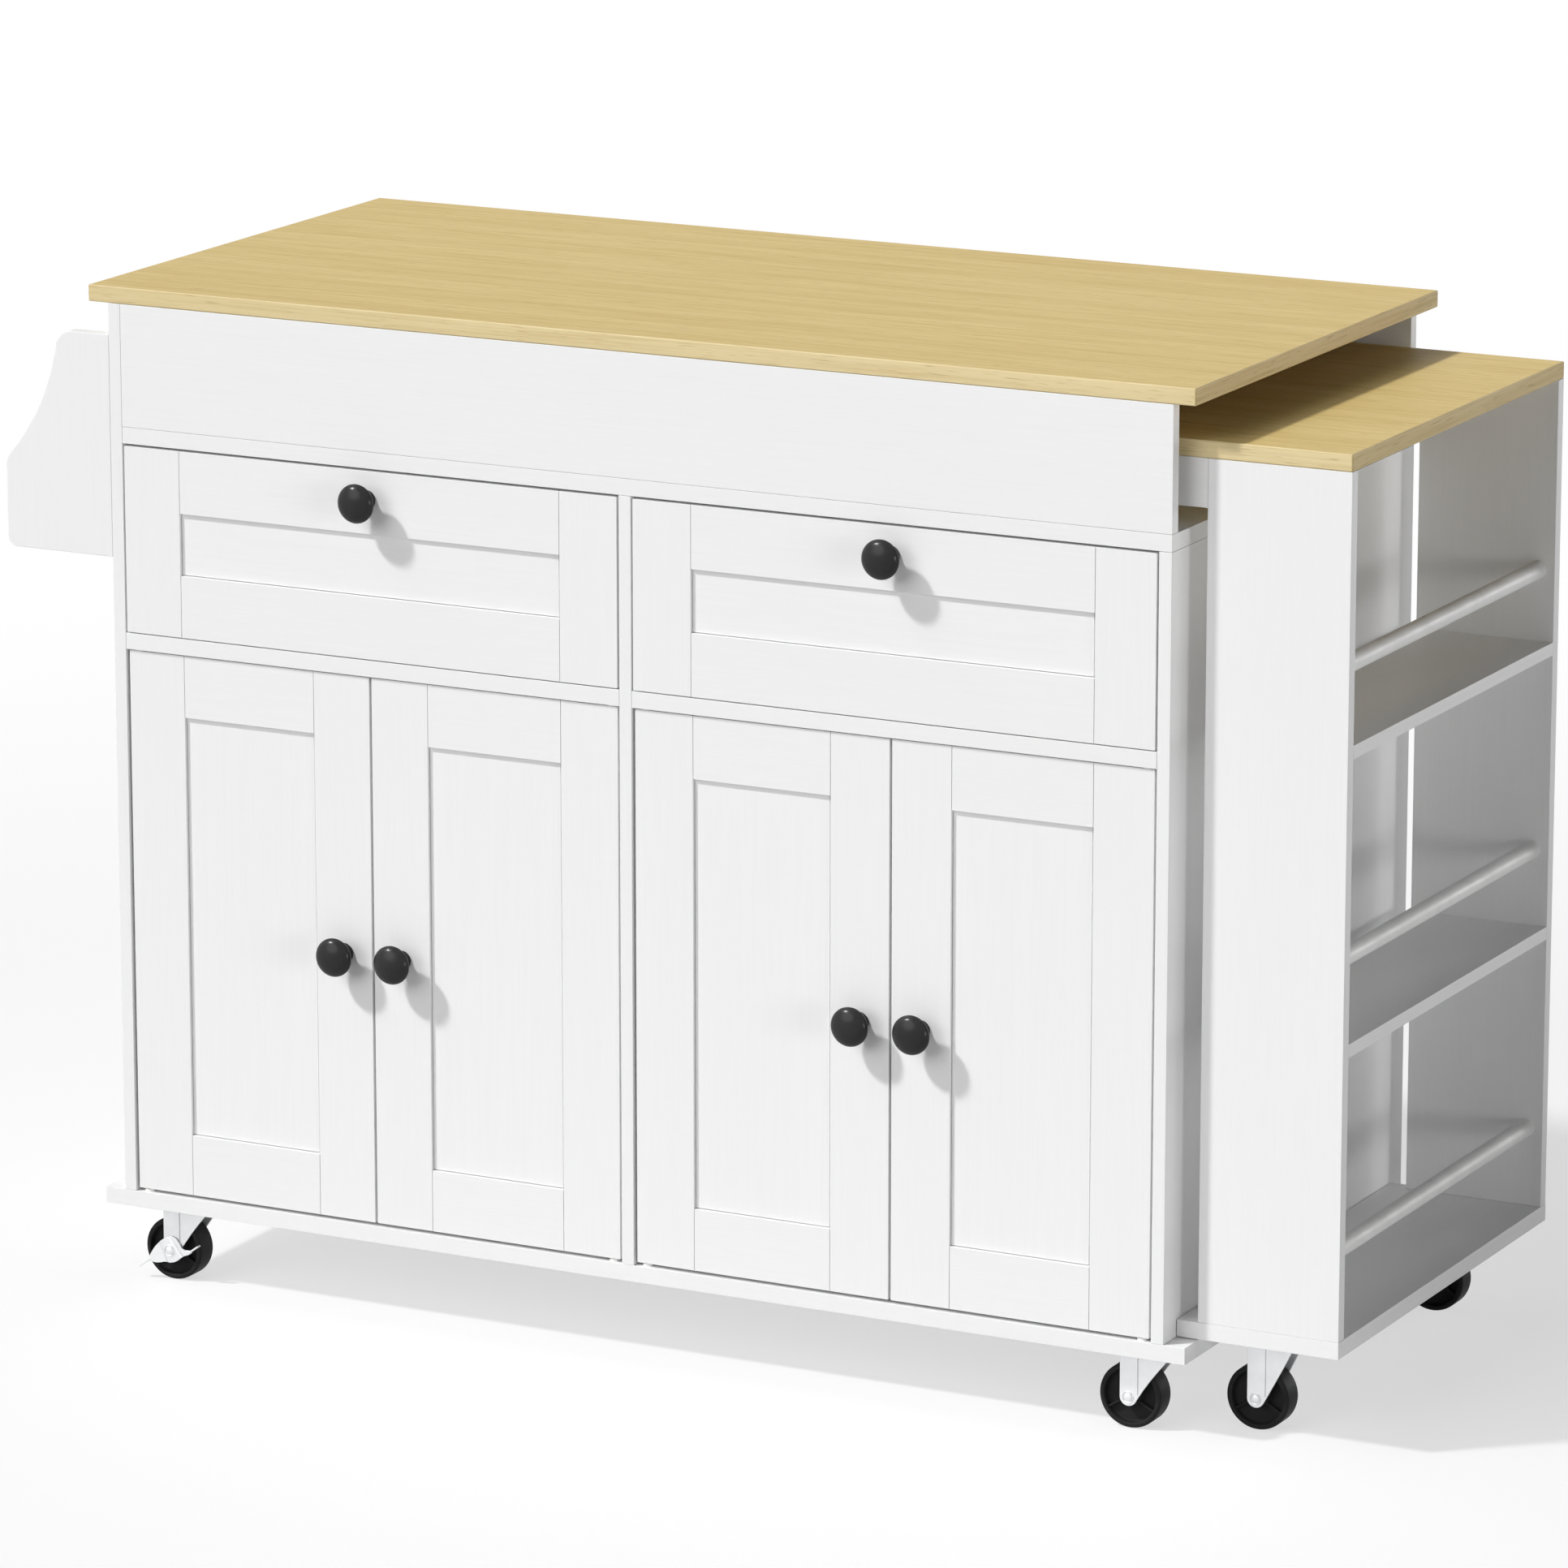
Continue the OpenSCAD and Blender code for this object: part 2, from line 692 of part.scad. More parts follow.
// Two sides, an inner front, a back and a bottom between them
module drawer_box(bay) {
    low = [bay_x(bay) + runner_room, drawer_front_t + seat, drawer_box_z];
    high = low + [drawer_box_w, drawer_box_d, drawer_box_h];
    inner = drawer_box_t + seat;
    floor_z = low.z + 8;
    color(white) placed() {
        for (x = [low.x, high.x - drawer_box_t])
            board([x, low.y, low.z], [x + drawer_box_t, high.y, high.z]);
        for (y = [low.y, high.y - drawer_box_t])
            board([low.x + inner, y, low.z], [high.x - inner, y + drawer_box_t, high.z]);
        board([low.x + inner, low.y + inner, floor_z],
              [high.x - inner, high.y - inner, floor_z + drawer_bottom_t]);
    }
}

// Channel on the cabinet, open towards the drawer (side 1 opens towards +x)
module runner_channel(x, side) {
    depth = runner_room - 2;
    translate([x, runner_y, runner_z]) mirror([side < 0 ? 1 : 0, 0, 0]) difference() {
        cube([depth, runner_l, runner_h]);
        translate([runner_wall, -1, runner_wall])
            cube([depth, runner_l + 2, runner_h - 2 * runner_wall]);
    }
}

module drawer_runners() {
    color(steel) placed() for (bay = [0, 1]) {
        runner_channel(bay_x(bay), 1);
        runner_channel(bay_x(bay) + bay_w, -1);
    }
}

// Bars on the drawer box that slide in those channels
module drawer_slides(bay) {
    inset = runner_wall + runner_clear;
    color(steel) placed() for (side = [1, -1]) {
        x = side > 0 ? bay_x(bay) : bay_x(bay) + bay_w;
        translate([x, runner_y, runner_z]) mirror([side < 0 ? 1 : 0, 0, 0])
            board([inset, 0, inset], [runner_room, runner_l, runner_h - inset]);
    }
}

// ---- Knob: its seat is at the origin and it stands out along -y ----

module knob() {
    r = knob_d / 2;
    foot = knob_foot_d / 2;
    waist = foot - 2.2;
    head = knob_projection - knob_head_h;
    edge = 3.5;
    rotate([90, 0, 0]) rotate_extrude($fn = smooth) polygon(concat(
        [[0, 0], [foot, 0], [foot, 2.5], [waist, 6], [waist, head - 3], [foot + 1, head]],
        arc([r - edge, head + edge], edge, -90, 90, 10),
        [for (i = [1:6]) let (a = 90 * i / 6)
            [(r - edge) * cos(a), head + 2 * edge + (knob_head_h - 2 * edge) * sin(a)]]
    ));
}

module drawer_knob(bay) {
    color(black) placed() translate([bay_x(bay) + bay_w / 2, 0,
        drawer_front_z + drawer_front_h - drawer_knob_drop]) knob();
}

// ---- Doors, counted from the left ----

module at_door(door) {
    placed() translate([door_x(door), door_recess, door_z]) children();
}

module pivot_hole(door, z, h) {
    x = hinged_left(door) ? pivot_inset : door_w - pivot_inset;
    translate([x, pivot_depth, z]) pin_z(pivot_d + 2 * running_fit, h);
}

// The frame, and the two steel pivot pins that stand in its hinge stile
module door_frame(door) {
    x = hinged_left(door) ? pivot_inset : door_w - pivot_inset;
    out_low = door_bottom_gap + bush_depth - 1;
    out_high = door_top_gap + bush_depth - 1;
    color(white) at_door(door) {
        difference() {
            shaker_frame(door_w, door_h, door_t, rail_w);
            pivot_hole(door, -1, pivot_grip + seat + 1);
            pivot_hole(door, door_h - pivot_grip - seat, pivot_grip + seat + 1);
        }
        translate([x, pivot_depth, -out_low]) pin_z(pivot_d, out_low + pivot_grip);
        translate([x, pivot_depth, door_h - pivot_grip]) pin_z(pivot_d, out_high + pivot_grip);
    }
}

module door_panel(door) {
    color(white) at_door(door) shaker_panel(door_w, door_h, rail_w);
}

module door_knob(door) {
    x = hinged_left(door) ? door_w - stile_w / 2 : stile_w / 2;
    color(black) at_door(door) translate([x, 0, door_knob_rise - door_bottom_gap]) knob();
}

// ---- Casters: the swivel pin stands at the origin and the floor is z = 0 ----

module screw_places() {
    for (x = [-1, 1], y = [-1, 1]) translate([x, y, 0] * screw_spacing / 2) children();
}

module screw_holes(caster) {
    translate(caster) screw_places() translate([0, 0, -1]) pin_z(screw_d + 0.2, screw_grip + 2);
}

// Mounting plate with its race and screws
module caster_plate(caster) {
    translate(caster) {
        difference() {
            union() {
                translate([-plate_side / 2, -plate_side / 2, -plate_t]) cube([plate_side, plate_side, plate_t]);
                translate([0, 0, -plate_t - race_h]) pin_z(race_d, race_h, smooth);
            }
            translate([0, 0, -plate_t - race_h - 1])
                pin_z(king_pin_d + 2 * running_fit, plate_t + race_h + 2);
            screw_places() translate([0, 0, -plate_t - 1]) pin_z(screw_d + 0.4, plate_t + 2);
        }
        screw_places() {
            translate([0, 0, -plate_t - screw_head_h - seat]) pin_z(screw_head_d, screw_head_h);
            translate([0, 0, -plate_t - 2 * seat]) pin_z(screw_d, plate_t + screw_grip);
        }
    }
}

module caster_plates() {
    color(steel) placed() for (i = [0:3]) caster_plate(CASTERS[i]);
}

module extension_caster_plates() {
    color(steel) placed() for (i = [4, 5]) caster_plate(CASTERS[i]);
}

function bezier(a, b, c, steps = 8) =
    [for (i = [0:steps]) let (t = i / steps) (1 - t) * (1 - t) * a + 2 * t * (1 - t) * b + t * t * c];

// Outline of a fork leg: straight in front, with a swept trailing edge
function leg_outline(crown_z) = let (
    axle = [-caster_trail, wheel_r],
    half = fork_leg_w / 2,
    sweep_low = axle + half * [cos(20), sin(20)],
    sweep_high = [fork_leg_w / 2 + 14, crown_z]
) concat(
    arc(axle, half, -180, 20, 14),
    bezier(sweep_low, [sweep_low.x + 12, crown_z - 12], sweep_high),
    [[axle.x - half, crown_z]]
);

// Sheet-steel fork with its crown, swivel pin, axle and rivet heads
module fork(caster, braked) {
    crown_top = caster.z - plate_t - race_h - race_gap;
    crown_z = crown_top - fork_t;
    front_out = leg_out + (braked ? lever_t + 2 * lever_gap : 0);
    color(steel) placed() translate([caster.x, caster.y, 0]) {
        for (y = [-leg_out, leg_in]) translate([0, y, 0])
            slab_xz(fork_t) polygon(leg_outline(crown_z + fork_t / 2));
        translate([0, 0, crown_z]) linear_extrude(fork_t) difference() {
            translate([-caster_trail - fork_leg_w / 2, -leg_out])
                square([caster_trail + fork_leg_w + 14, 2 * leg_out]);
            for (y = [-1, 1]) translate([fork_leg_w / 2 + 14, y * leg_out])
                rotate(45) square(9, center = true);
        }
        translate([0, 0, crown_top]) pin_z(king_pin_d, race_gap + race_h + plate_t - seat);
        translate([-caster_trail, -front_out, wheel_r]) bar_y(axle_d, front_out + leg_out, fine);
        translate([-caster_trail, -front_out - rivet_h, wheel_r]) rivet_head();
        translate([-caster_trail, leg_out + rivet_h, wheel_r]) mirror([0, 1, 0]) rivet_head();
    }
}

// A low dome that faces -y
module rivet_head() {
    bar_y(rivet_d - 3, rivet_h, fine);
    translate([0, rivet_h / 2, 0]) bar_y(rivet_d, rivet_h / 2, fine);
}

// Dished wheel with a hub and three ribs in each face
module wheel(caster) {
    half = wheel_w / 2;
    web = half - wheel_dish;
    hub = wheel_hub_d / 2;
    edge = 1.5;
    color(black) placed() translate([caster.x - caster_trail, caster.y, wheel_r]) rotate([90, 0, 0])
    difference() {
        union() {
            rotate_extrude($fn = smooth) polygon([
                [0, -half], [hub, -half], [hub, -web], [wheel_r - wheel_rim_t, -web],
                [wheel_r - wheel_rim_t, -half], [wheel_r - edge, -half], [wheel_r, -half + edge],
                [wheel_r, half - edge], [wheel_r - edge, half], [wheel_r - wheel_rim_t, half],
                [wheel_r - wheel_rim_t, web], [hub, web], [hub, half], [0, half]
            ]);
            for (a = [85, 205, 325]) rotate(a) translate([hub - 1, -wheel_rib_t / 2, -half + 2])
                cube([wheel_r - wheel_rim_t - hub + 2, wheel_rib_t, wheel_w - 4]);
        }
        translate([0, 0, -half - 1]) pin_z(axle_d + 2 * running_fit, wheel_w + 2);
    }
}

// Upper and lower edge of the brake lever round the axle, as it lies with the brake on
LEVER = [
    [-22.5, -9.2], [-17.5, -0.5], [-12.3, 5.6], [-6, 10.4], [0.6, 13.1], [7, 10.8], [11, 5], [15, 2], [22.5, 2.6],
    [22.5, 0.2], [18.5, -2.3], [13.5, -4.3], [8.4, -8.5], [0.6, -11.5], [-7, -11.9], [-12.3, -13.2],
    [-17.5, -13.4], [-22.5, -11.8]
];

// Stamped lever on the front end of the axle, with a foot pad at each end
module brake_lever(caster) {
    color(steel) placed()
    translate([caster.x - caster_trail, caster.y - leg_out - lever_gap - lever_t, wheel_r]) difference() {
        union() {
            slab_xz(lever_t) polygon(LEVER);
            for (end = [[20.5, 0.6, 0], [-21.3, -11, -pad_l]])
                translate([end.x, lever_t - pad_d, end.y]) rotate([0, -pad_slope, 0])
                translate([end.z, 0, 0]) cube([pad_l, pad_d, lever_t]);
        }
        translate([0, -1, 0]) bar_y(axle_d + 2 * running_fit, lever_t + 2, fine);
    }
}

base_board();
left_side_panel();
right_side_panel();
center_divider();
deck_board();
mid_rails();
front_fascia();
rear_fascia();
back_panels();
worktop();
inner_shelves();
shelf_pins();
drawer_runners();
door_hardware();
rack_panels();
towel_rod();
caster_plates();
slide_guides();
extension_top();
extension_aprons();
extension_panels();
extension_shelves();
extension_base();
extension_rails();
extension_glides();
extension_caster_plates();
drawer_front(0);  // left_drawer_front
drawer_box(0);  // left_drawer_box
drawer_slides(0);  // left_drawer_slides
drawer_knob(0);  // left_drawer_knob
drawer_front(1);  // right_drawer_front
drawer_box(1);  // right_drawer_box
drawer_slides(1);  // right_drawer_slides
drawer_knob(1);  // right_drawer_knob
door_frame(0);  // door_1_frame
door_panel(0);  // door_1_panel
door_knob(0);  // door_1_knob
door_frame(1);  // door_2_frame
door_panel(1);  // door_2_panel
door_knob(1);  // door_2_knob
door_frame(2);  // door_3_frame
door_panel(2);  // door_3_panel
door_knob(2);  // door_3_knob
door_frame(3);  // door_4_frame
door_panel(3);  // door_4_panel
door_knob(3);  // door_4_knob
fork(CASTERS[0], true);  // front_left_fork
wheel(CASTERS[0]);  // front_left_wheel
brake_lever(CASTERS[0]);  // front_left_brake_lever
fork(CASTERS[1], true);  // rear_left_fork
wheel(CASTERS[1]);  // rear_left_wheel
brake_lever(CASTERS[1]);  // rear_left_brake_lever
fork(CASTERS[2], false);  // front_right_fork
wheel(CASTERS[2]);  // front_right_wheel
fork(CASTERS[3], false);  // rear_right_fork
wheel(CASTERS[3]);  // rear_right_wheel
fork(CASTERS[4], false);  // extension_front_fork
wheel(CASTERS[4]);  // extension_front_wheel
fork(CASTERS[5], false);  // extension_rear_fork
wheel(CASTERS[5]);  // extension_rear_wheel
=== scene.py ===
"""A white kitchen island on casters, with an oak-look worktop, two drawers over four panelled doors,
a towel rack at its left side and a shelf unit that slides out at its right side.

Places are written in millimetres, as the part's source counts them: x from the outer face of the
left side panel, y from the cabinet's front and z from the floor. spot() turns them into the
frame's metres."""
import math

import bmesh
import bpy
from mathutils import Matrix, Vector


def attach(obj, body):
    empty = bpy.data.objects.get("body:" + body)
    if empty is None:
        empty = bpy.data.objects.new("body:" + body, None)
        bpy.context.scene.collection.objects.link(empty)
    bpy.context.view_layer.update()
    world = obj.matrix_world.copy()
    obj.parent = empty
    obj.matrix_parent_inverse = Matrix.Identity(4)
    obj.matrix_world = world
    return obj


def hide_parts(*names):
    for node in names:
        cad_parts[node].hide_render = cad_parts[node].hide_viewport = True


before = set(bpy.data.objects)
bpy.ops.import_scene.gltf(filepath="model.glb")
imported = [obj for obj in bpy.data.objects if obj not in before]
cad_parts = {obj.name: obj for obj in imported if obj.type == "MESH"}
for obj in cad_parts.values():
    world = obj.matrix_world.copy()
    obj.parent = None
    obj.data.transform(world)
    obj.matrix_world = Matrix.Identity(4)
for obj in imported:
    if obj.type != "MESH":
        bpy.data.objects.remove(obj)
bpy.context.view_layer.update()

MIDDLE = Vector((535.5, 243.75, 0))  # on the floor, under the middle of the whole island


def spot(x, y, z):
    """A place in the frame's metres"""
    return (Vector((x, y, z)) - MIDDLE) / 1000


# ---- Sizes, in millimetres ----

BOARD, HEAVY_BOARD = 12, 15
BAY = 497                        # clear width of each half of the cabinet
BAYS = (BOARD, 2 * BOARD + BAY)  # where each half begins
WIDE, DEEP = 3 * BOARD + 2 * BAY, 515
OVERHANG = 20                    # of the base and the worktop, past the side panels
HAIRLINE = 0.15                  # taken off each face where boards meet
STILE = 56                       # width of the stiles and rails of a front

BASE = 72                        # underside of the base board
CABINET_FLOOR = BASE + HEAVY_BOARD
SHELF = 332                      # underside of the inner shelves
RAIL = 588                       # underside of the rails over the doors
SILL = RAIL + HEAVY_BOARD        # the top of these rails, under the drawers
SLIDE = 677                      # middle of the drawers' runners
DECK = 774                       # underside of the deck board
SLOT = DECK + HEAVY_BOARD        # floor of the slot for the sliding top
TOP = 899                        # underside of the worktop
RACK = 670.5                     # lower edge of the towel rack
RACK_ROD = 7.1                   # from the front to the towel rod's end, in the rack's panel

DRAWER_HIGH = 168                # height of a drawer's front
DOOR_GAP = 2.5
DOOR_WIDE, DOOR_HIGH = (BAY - 3 * DOOR_GAP) / 2, 497
DOOR_FACE = 2                    # from the cabinet's front back to the doors' faces
DOOR_KNOB, DRAWER_KNOB = 335, 746.5  # heights of the knobs' middles
PIVOT_IN, PIVOT_Y = 10.5, 7      # a door's pivot, from the end of its bay and from the front
PIVOTS = [x for left in BAYS for x in (left + PIVOT_IN, left + BAY - PIVOT_IN)]

BUSH_HOLE = 3.6                  # radius of the holes for the pivots' bushes
PIN = 2.5                        # radius of the shelf pins
ROD = 8                          # radius of the towel rod and the guard rails
SHEET = 1.5                      # thickness of the runners' and the levers' sheet steel

EXT_LEFT, EXT_RIGHT = WIDE + OVERHANG, 1180
EXT_NEAR, EXT_FAR = 26, 490
EXT_SIDES = (EXT_NEAR, EXT_FAR - BOARD)  # the front faces of its front and rear panels
EXT_INNER = 380                  # hidden end of the sliding top
EXT_BASE, EXT_TOP = 88, 851      # undersides of its base board and its top
EXT_FLOOR = EXT_BASE + HEAVY_BOARD
EXT_SHELVES = (349, 606)         # undersides of its shelves
EXT_RAILS = (175, 429.5, 681.5)  # middles of its guard rails
APRON, CROSS_RAIL = 809, 822     # lower edges of its aprons and of the rail between them
GUIDE_GAP = 0.8                  # between the aprons and the guide strips


# ---- Finishes ----

def shade(colour):
    """A hex colour as linear light"""
    parts = [int(colour[i:i + 2], 16) / 255 for i in (1, 3, 5)]
    return [c / 12.92 if c <= 0.04045 else ((c + 0.055) / 1.055) ** 2.4 for c in parts] + [1]


def add(tree, kind, settings, inputs):
    """Adds a node with its settings. An input that is another node's output is linked, and a hex
    colour becomes linear light."""
    node = tree.nodes.new("ShaderNode" + kind)
    for name, value in settings.items():
        setattr(node, name, value)
    for name, value in inputs.items():
        if isinstance(value, bpy.types.NodeSocket):
            tree.links.new(value, node.inputs[name])
        else:
            node.inputs[name].default_value = shade(value) if isinstance(value, str) else value
    return node


def finish_named(name, **sockets):
    """A new finish: its node tree and its shader, with the plain values set on the shader"""
    made = bpy.data.materials.new(name)
    made.use_nodes = True
    shader = made.node_tree.nodes["Principled BSDF"]
    for socket, value in sockets.items():
        shader.inputs[socket.replace("_", " ")].default_value = value
    return made, made.node_tree, shader


def marks(tree, grain, long, wide, detail, rough=0.5):
    """A random pattern of marks, long by wide millimetres, that run along the grain"""
    size = [1000 / wide] * 3
    size["xyz".index(grain)] = 1000 / long
    places = add(tree, "TexCoord", {}, {}).outputs["Object"]
    places = add(tree, "Mapping", {}, {"Vector": places, "Scale": size}).outputs["Vector"]
    return add(tree, "TexNoise", {}, {"Vector": places, "Scale": 1, "Detail": detail,
                                      "Roughness": rough}).outputs["Fac"]


def dressed(tree, shader, colour, layers, cloud, rough, relief, deep):
    """Gives a finish its look. Each layer's colour shows where its pattern rises from low to high, up
    to so much of it. The cloud pattern moves the roughness between two values. The relief pattern
    stands up by so many millimetres, or sinks in where that is negative."""
    for pattern, low, high, most, layer in layers:
        amount = add(tree, "MapRange", {}, {"Value": pattern, "From Min": low, "From Max": high,
                                            "To Max": most}).outputs["Result"]
        # A Mix node's two colours are its inputs 6 and 7, and the mixed one is its output 2
        colour = add(tree, "Mix", {"data_type": "RGBA"}, {"Factor": amount, 6: colour, 7: layer}).outputs[2]
    # Noise lies mostly between 0.3 and 0.7
    roughness = add(tree, "MapRange", {}, {"Value": cloud, "From Min": 0.3, "From Max": 0.7,
                                           "To Min": rough[0], "To Max": rough[1]}).outputs["Result"]
    normal = add(tree, "Bump", {}, {"Height": relief, "Distance": deep / 1000,
                                    "Strength": 0.5}).outputs["Normal"]
    for socket, value in (("Base Color", colour), ("Roughness", roughness), ("Normal", normal)):
        tree.links.new(value, shader.inputs[socket])


def white_laminate(grain):
    """Melamine-faced board, pressed with a fine wood grain: an even, dull white, on which a slanting
    light finds faint lengthwise ticks. The real grain is about 0.4 mm wide and is drawn at 2.2 mm,
    so that it shows in the picture."""
    made, tree, shader = finish_named("white_laminate_grain_" + grain, IOR=1.5, Specular_IOR_Level=0.3)
    ticks = marks(tree, grain, 80, 2.2, 3)
    cloud = marks(tree, grain, 420, 90, 1)
    dressed(tree, shader, "#F1F1F1", [(ticks, 0.35, 0.7, 1, "#EFEFEF"), (cloud, 0.4, 0.8, 0.35, "#EEEEEE")],
            ticks, (0.44, 0.54), ticks, 0.01)
    return made


def oak_laminate(name, grain, light, middle, dark, pore):
    """Light oak printed paper under melamine: pale straw yellow with soft lengthwise bands, fine
    streaks and short darker pores. The pores are drawn 1.4 mm wide instead of 0.3 mm, so that
    they show in the picture."""
    made, tree, shader = finish_named(name, IOR=1.5, Specular_IOR_Level=0.2)
    bands = marks(tree, grain, 700, 34, 2)
    streaks = marks(tree, grain, 150, 3.2, 4, 0.65)
    pores = marks(tree, grain, 26, 1.4, 2)
    layers = [(bands, 0.35, 0.68, 1, middle), (streaks, 0.45, 0.78, 0.8, dark), (pores, 0.6, 0.74, 0.6, pore)]
    dressed(tree, shader, light, layers, streaks, (0.46, 0.58), pores, -0.03)
    return made


def mottled(name, colour, worn, grit, deep, rough, **sockets):
    """A finish that is even from afar, with a fine grit of so many millimetres and a slight
    cloudiness in tone and gloss"""
    made, tree, shader = finish_named(name, **sockets)
    fine = marks(tree, "x", grit, grit, 3)
    cloud = marks(tree, "x", 22, 22, 2)
    dressed(tree, shader, colour, [(cloud, 0.35, 0.7, 1, worn)], cloud, rough, fine, deep)
    return made


white_up = white_laminate("z")
white_along = white_laminate("x")
white_back = white_laminate("y")
oak_top = oak_laminate("oak_laminate", "x", "#DDC585", "#D6BC7A", "#C3A664", "#A88B4D")
# The edge bands, whose print is a little paler along the front and greyer at the ends
oak_edge = oak_laminate("oak_edge_band_along", "x", "#E4D2A4", "#DECB9B", "#CBB37E", "#B0955F")
oak_end = oak_laminate("oak_edge_band_across", "y", "#D5C08D", "#CDB680", "#BAA168", "#9F8450")
# Powder coat, baked on die-cast knobs: a satin black with a fine orange peel
powder_coat = mottled("black_powder_coat", "#2A2A2A", "#2F2F2F", 0.9, 0.01, (0.2, 0.26), IOR=1.25)
# Polypropylene, moulded in a spark-eroded tool: dull black with grey lights on its edges
moulded_black = mottled("black_polypropylene_moulded", "#292929", "#2F2F2F", 0.8, 0.02, (0.42, 0.52),
                        IOR=1.25, Specular_IOR_Level=0.12)
# Acetal, moulded: a clean white with a soft gloss
moulded_white = mottled("white_acetal_moulded", "#F0F0EE", "#EAEAE8", 0.9, 0.01, (0.3, 0.4), IOR=1.48)
# Pressed sheet steel with bright zinc: a pale grey with a cloudy bloom. Its fine crystals scatter
# some of the light, so it is not all mirror.
bright_zinc = mottled("bright_zinc_plated_steel_pressed", "#ECEDEE", "#E2E3E5", 1.6, 0.01, (0.32, 0.44),
                      Metallic=0.68)
# Rolled sheet steel with blue zinc, as on runners and screws: greyer and duller
dull_zinc = mottled("zinc_plated_steel_rolled", "#C9CBCD", "#BBBDC0", 1.2, 0.02, (0.3, 0.42), Metallic=1.0)
# Beech rod under sprayed white lacquer: smooth and softly shining
lacquer = mottled("white_lacquer_sprayed_beech", "#ECECEB", "#E6E6E5", 1.4, 0.02, (0.45, 0.55),
                  IOR=1.5, Specular_IOR_Level=0.35)


# ---- Ways of working ----

def cleared():
    """Back to object mode with nothing selected"""
    if bpy.context.object and bpy.context.object.mode != "OBJECT":
        bpy.ops.object.mode_set(mode="OBJECT")
    bpy.ops.object.select_all(action="DESELECT")


def take(*pieces):
    cleared()
    for piece in pieces:
        piece.select_set(True)
    bpy.context.view_layer.objects.active = pieces[0]


def shape(kind="EDGE"):
    """Into edit mode, all selected"""
    bpy.ops.object.mode_set(mode="EDIT")
    bpy.ops.mesh.select_mode(type=kind)
    bpy.ops.mesh.select_all(action="SELECT")


def pick(kind, test):
    """Selects only the verts, edges or faces that pass the test"""
    bpy.ops.mesh.select_mode(type={"verts": "VERT", "edges": "EDGE", "faces": "FACE"}[kind])
    bpy.ops.mesh.select_all(action="DESELECT")
    mesh = bmesh.from_edit_mesh(bpy.context.object.data)
    for part in getattr(mesh, kind):
        if test(part):
            part.select_set(True)
    mesh.select_flush_mode()
    bmesh.update_edit_mesh(bpy.context.object.data)


SLACK = 0.00002  # metres, by which a point may miss the cut that it was made by


def ease(size, turn=50):
    """Rounds every edge that turns by more than so many degrees"""
    pick("edges", lambda edge: edge.is_manifold and edge.calc_face_angle() > math.radians(turn))
    bpy.ops.mesh.bevel(offset=size / 1000, segments=2, affect="EDGES")


def coated(finish):
    bpy.ops.object.mode_set(mode="OBJECT")
    piece = bpy.context.object
    piece.data.materials.clear()
    piece.data.materials.append(finish)
    return piece


def applied():
    bpy.ops.object.transform_apply(location=True, rotation=True, scale=True)


def board(low, high, finish, soften=0.3, seam=0):
    """A board from its low corner to its high corner, with eased edges. A seam takes that much off
    every face, so that a joint with the next board shows as a hairline."""
    cleared()
    hair = Vector((seam, seam, seam)) / 1000
    low, high = spot(*low) + hair, spot(*high) - hair
    bpy.ops.mesh.primitive_cube_add(size=1, location=(low + high) / 2, scale=high - low)
    applied()
    shape()
    ease(soften)
    return coated(finish)


def traced(points):
    """A line drawn from point to point, left in edit mode"""
    cleared()
    bpy.ops.mesh.primitive_plane_add(size=0.001, location=spot(*points[0]))
    applied()
    shape("VERT")
    bpy.ops.mesh.merge(type="CENTER")
    for here, there in zip(points, points[1:]):
        bpy.ops.mesh.extrude_region_move(
            TRANSFORM_OT_translate={"value": (Vector(there) - Vector(here)) / 1000})
    bpy.ops.mesh.select_all(action="SELECT")


def cut_out(points, thick, finish, soften=0.4):
    """A flat piece cut to an outline and given a thickness along a direction"""
    traced(points)
    bpy.ops.mesh.edge_face_add()
    bpy.ops.mesh.extrude_region_move(TRANSFORM_OT_translate={"value": Vector(thick) / 1000})
    bpy.ops.mesh.select_all(action="SELECT")
    bpy.ops.mesh.normals_make_consistent(inside=False)
    if soften:
        ease(soften)
    return coated(finish)


def turned(profile, centre, along, finish, steps=48):
    """A turned piece. Its profile is pairs of a radius and a distance along the axis."""
    centre, along = Vector(centre), Vector(along)
    out = Vector((1, 0, 0)) if along.z else Vector((0, 0, 1))
    traced([centre + out * radius + along * way for radius, way in profile])
    bpy.ops.mesh.spin(steps=steps, angle=2 * math.pi, center=spot(*centre), axis=along)
    bpy.ops.mesh.select_all(action="SELECT")
    bpy.ops.mesh.remove_doubles(threshold=0.00001)
    bpy.ops.mesh.normals_make_consistent(inside=False)
    return coated(finish)


def bar(start, along, length, radius, finish, soften=0.5, steps=32):
    """A round bar with eased ends"""
    return turned([(0, 0), (radius - soften, 0), (radius, soften), (radius, length - soften),
                   (radius - soften, length), (0, length)], start, along, finish, steps)


def cut_away(piece, tool):
    """Takes the shape of a tool out of a piece, which keeps its one finish"""
    finish = piece.data.materials[0]
    take(piece)
    bpy.ops.object.modifier_add(type="BOOLEAN")
    piece.modifiers[-1].object = tool
    piece.modifiers[-1].solver = "EXACT"
    bpy.ops.object.modifier_apply(modifier=piece.modifiers[-1].name)
    bpy.data.objects.remove(tool)
    piece.data.materials.clear()
    piece.data.materials.append(finish)
    return piece


def drilled(piece, start, along, length, radius):
    """Drills a hole into a piece"""
    cut_away(piece, bar(start, along, length, radius, powder_coat, 0.05))


def copied(piece, shift):
    """The same piece again, with its own mesh"""
    take(piece)
    bpy.ops.object.duplicate()
    bpy.ops.transform.translate(value=Vector(shift) / 1000)
    applied()
    return bpy.context.object


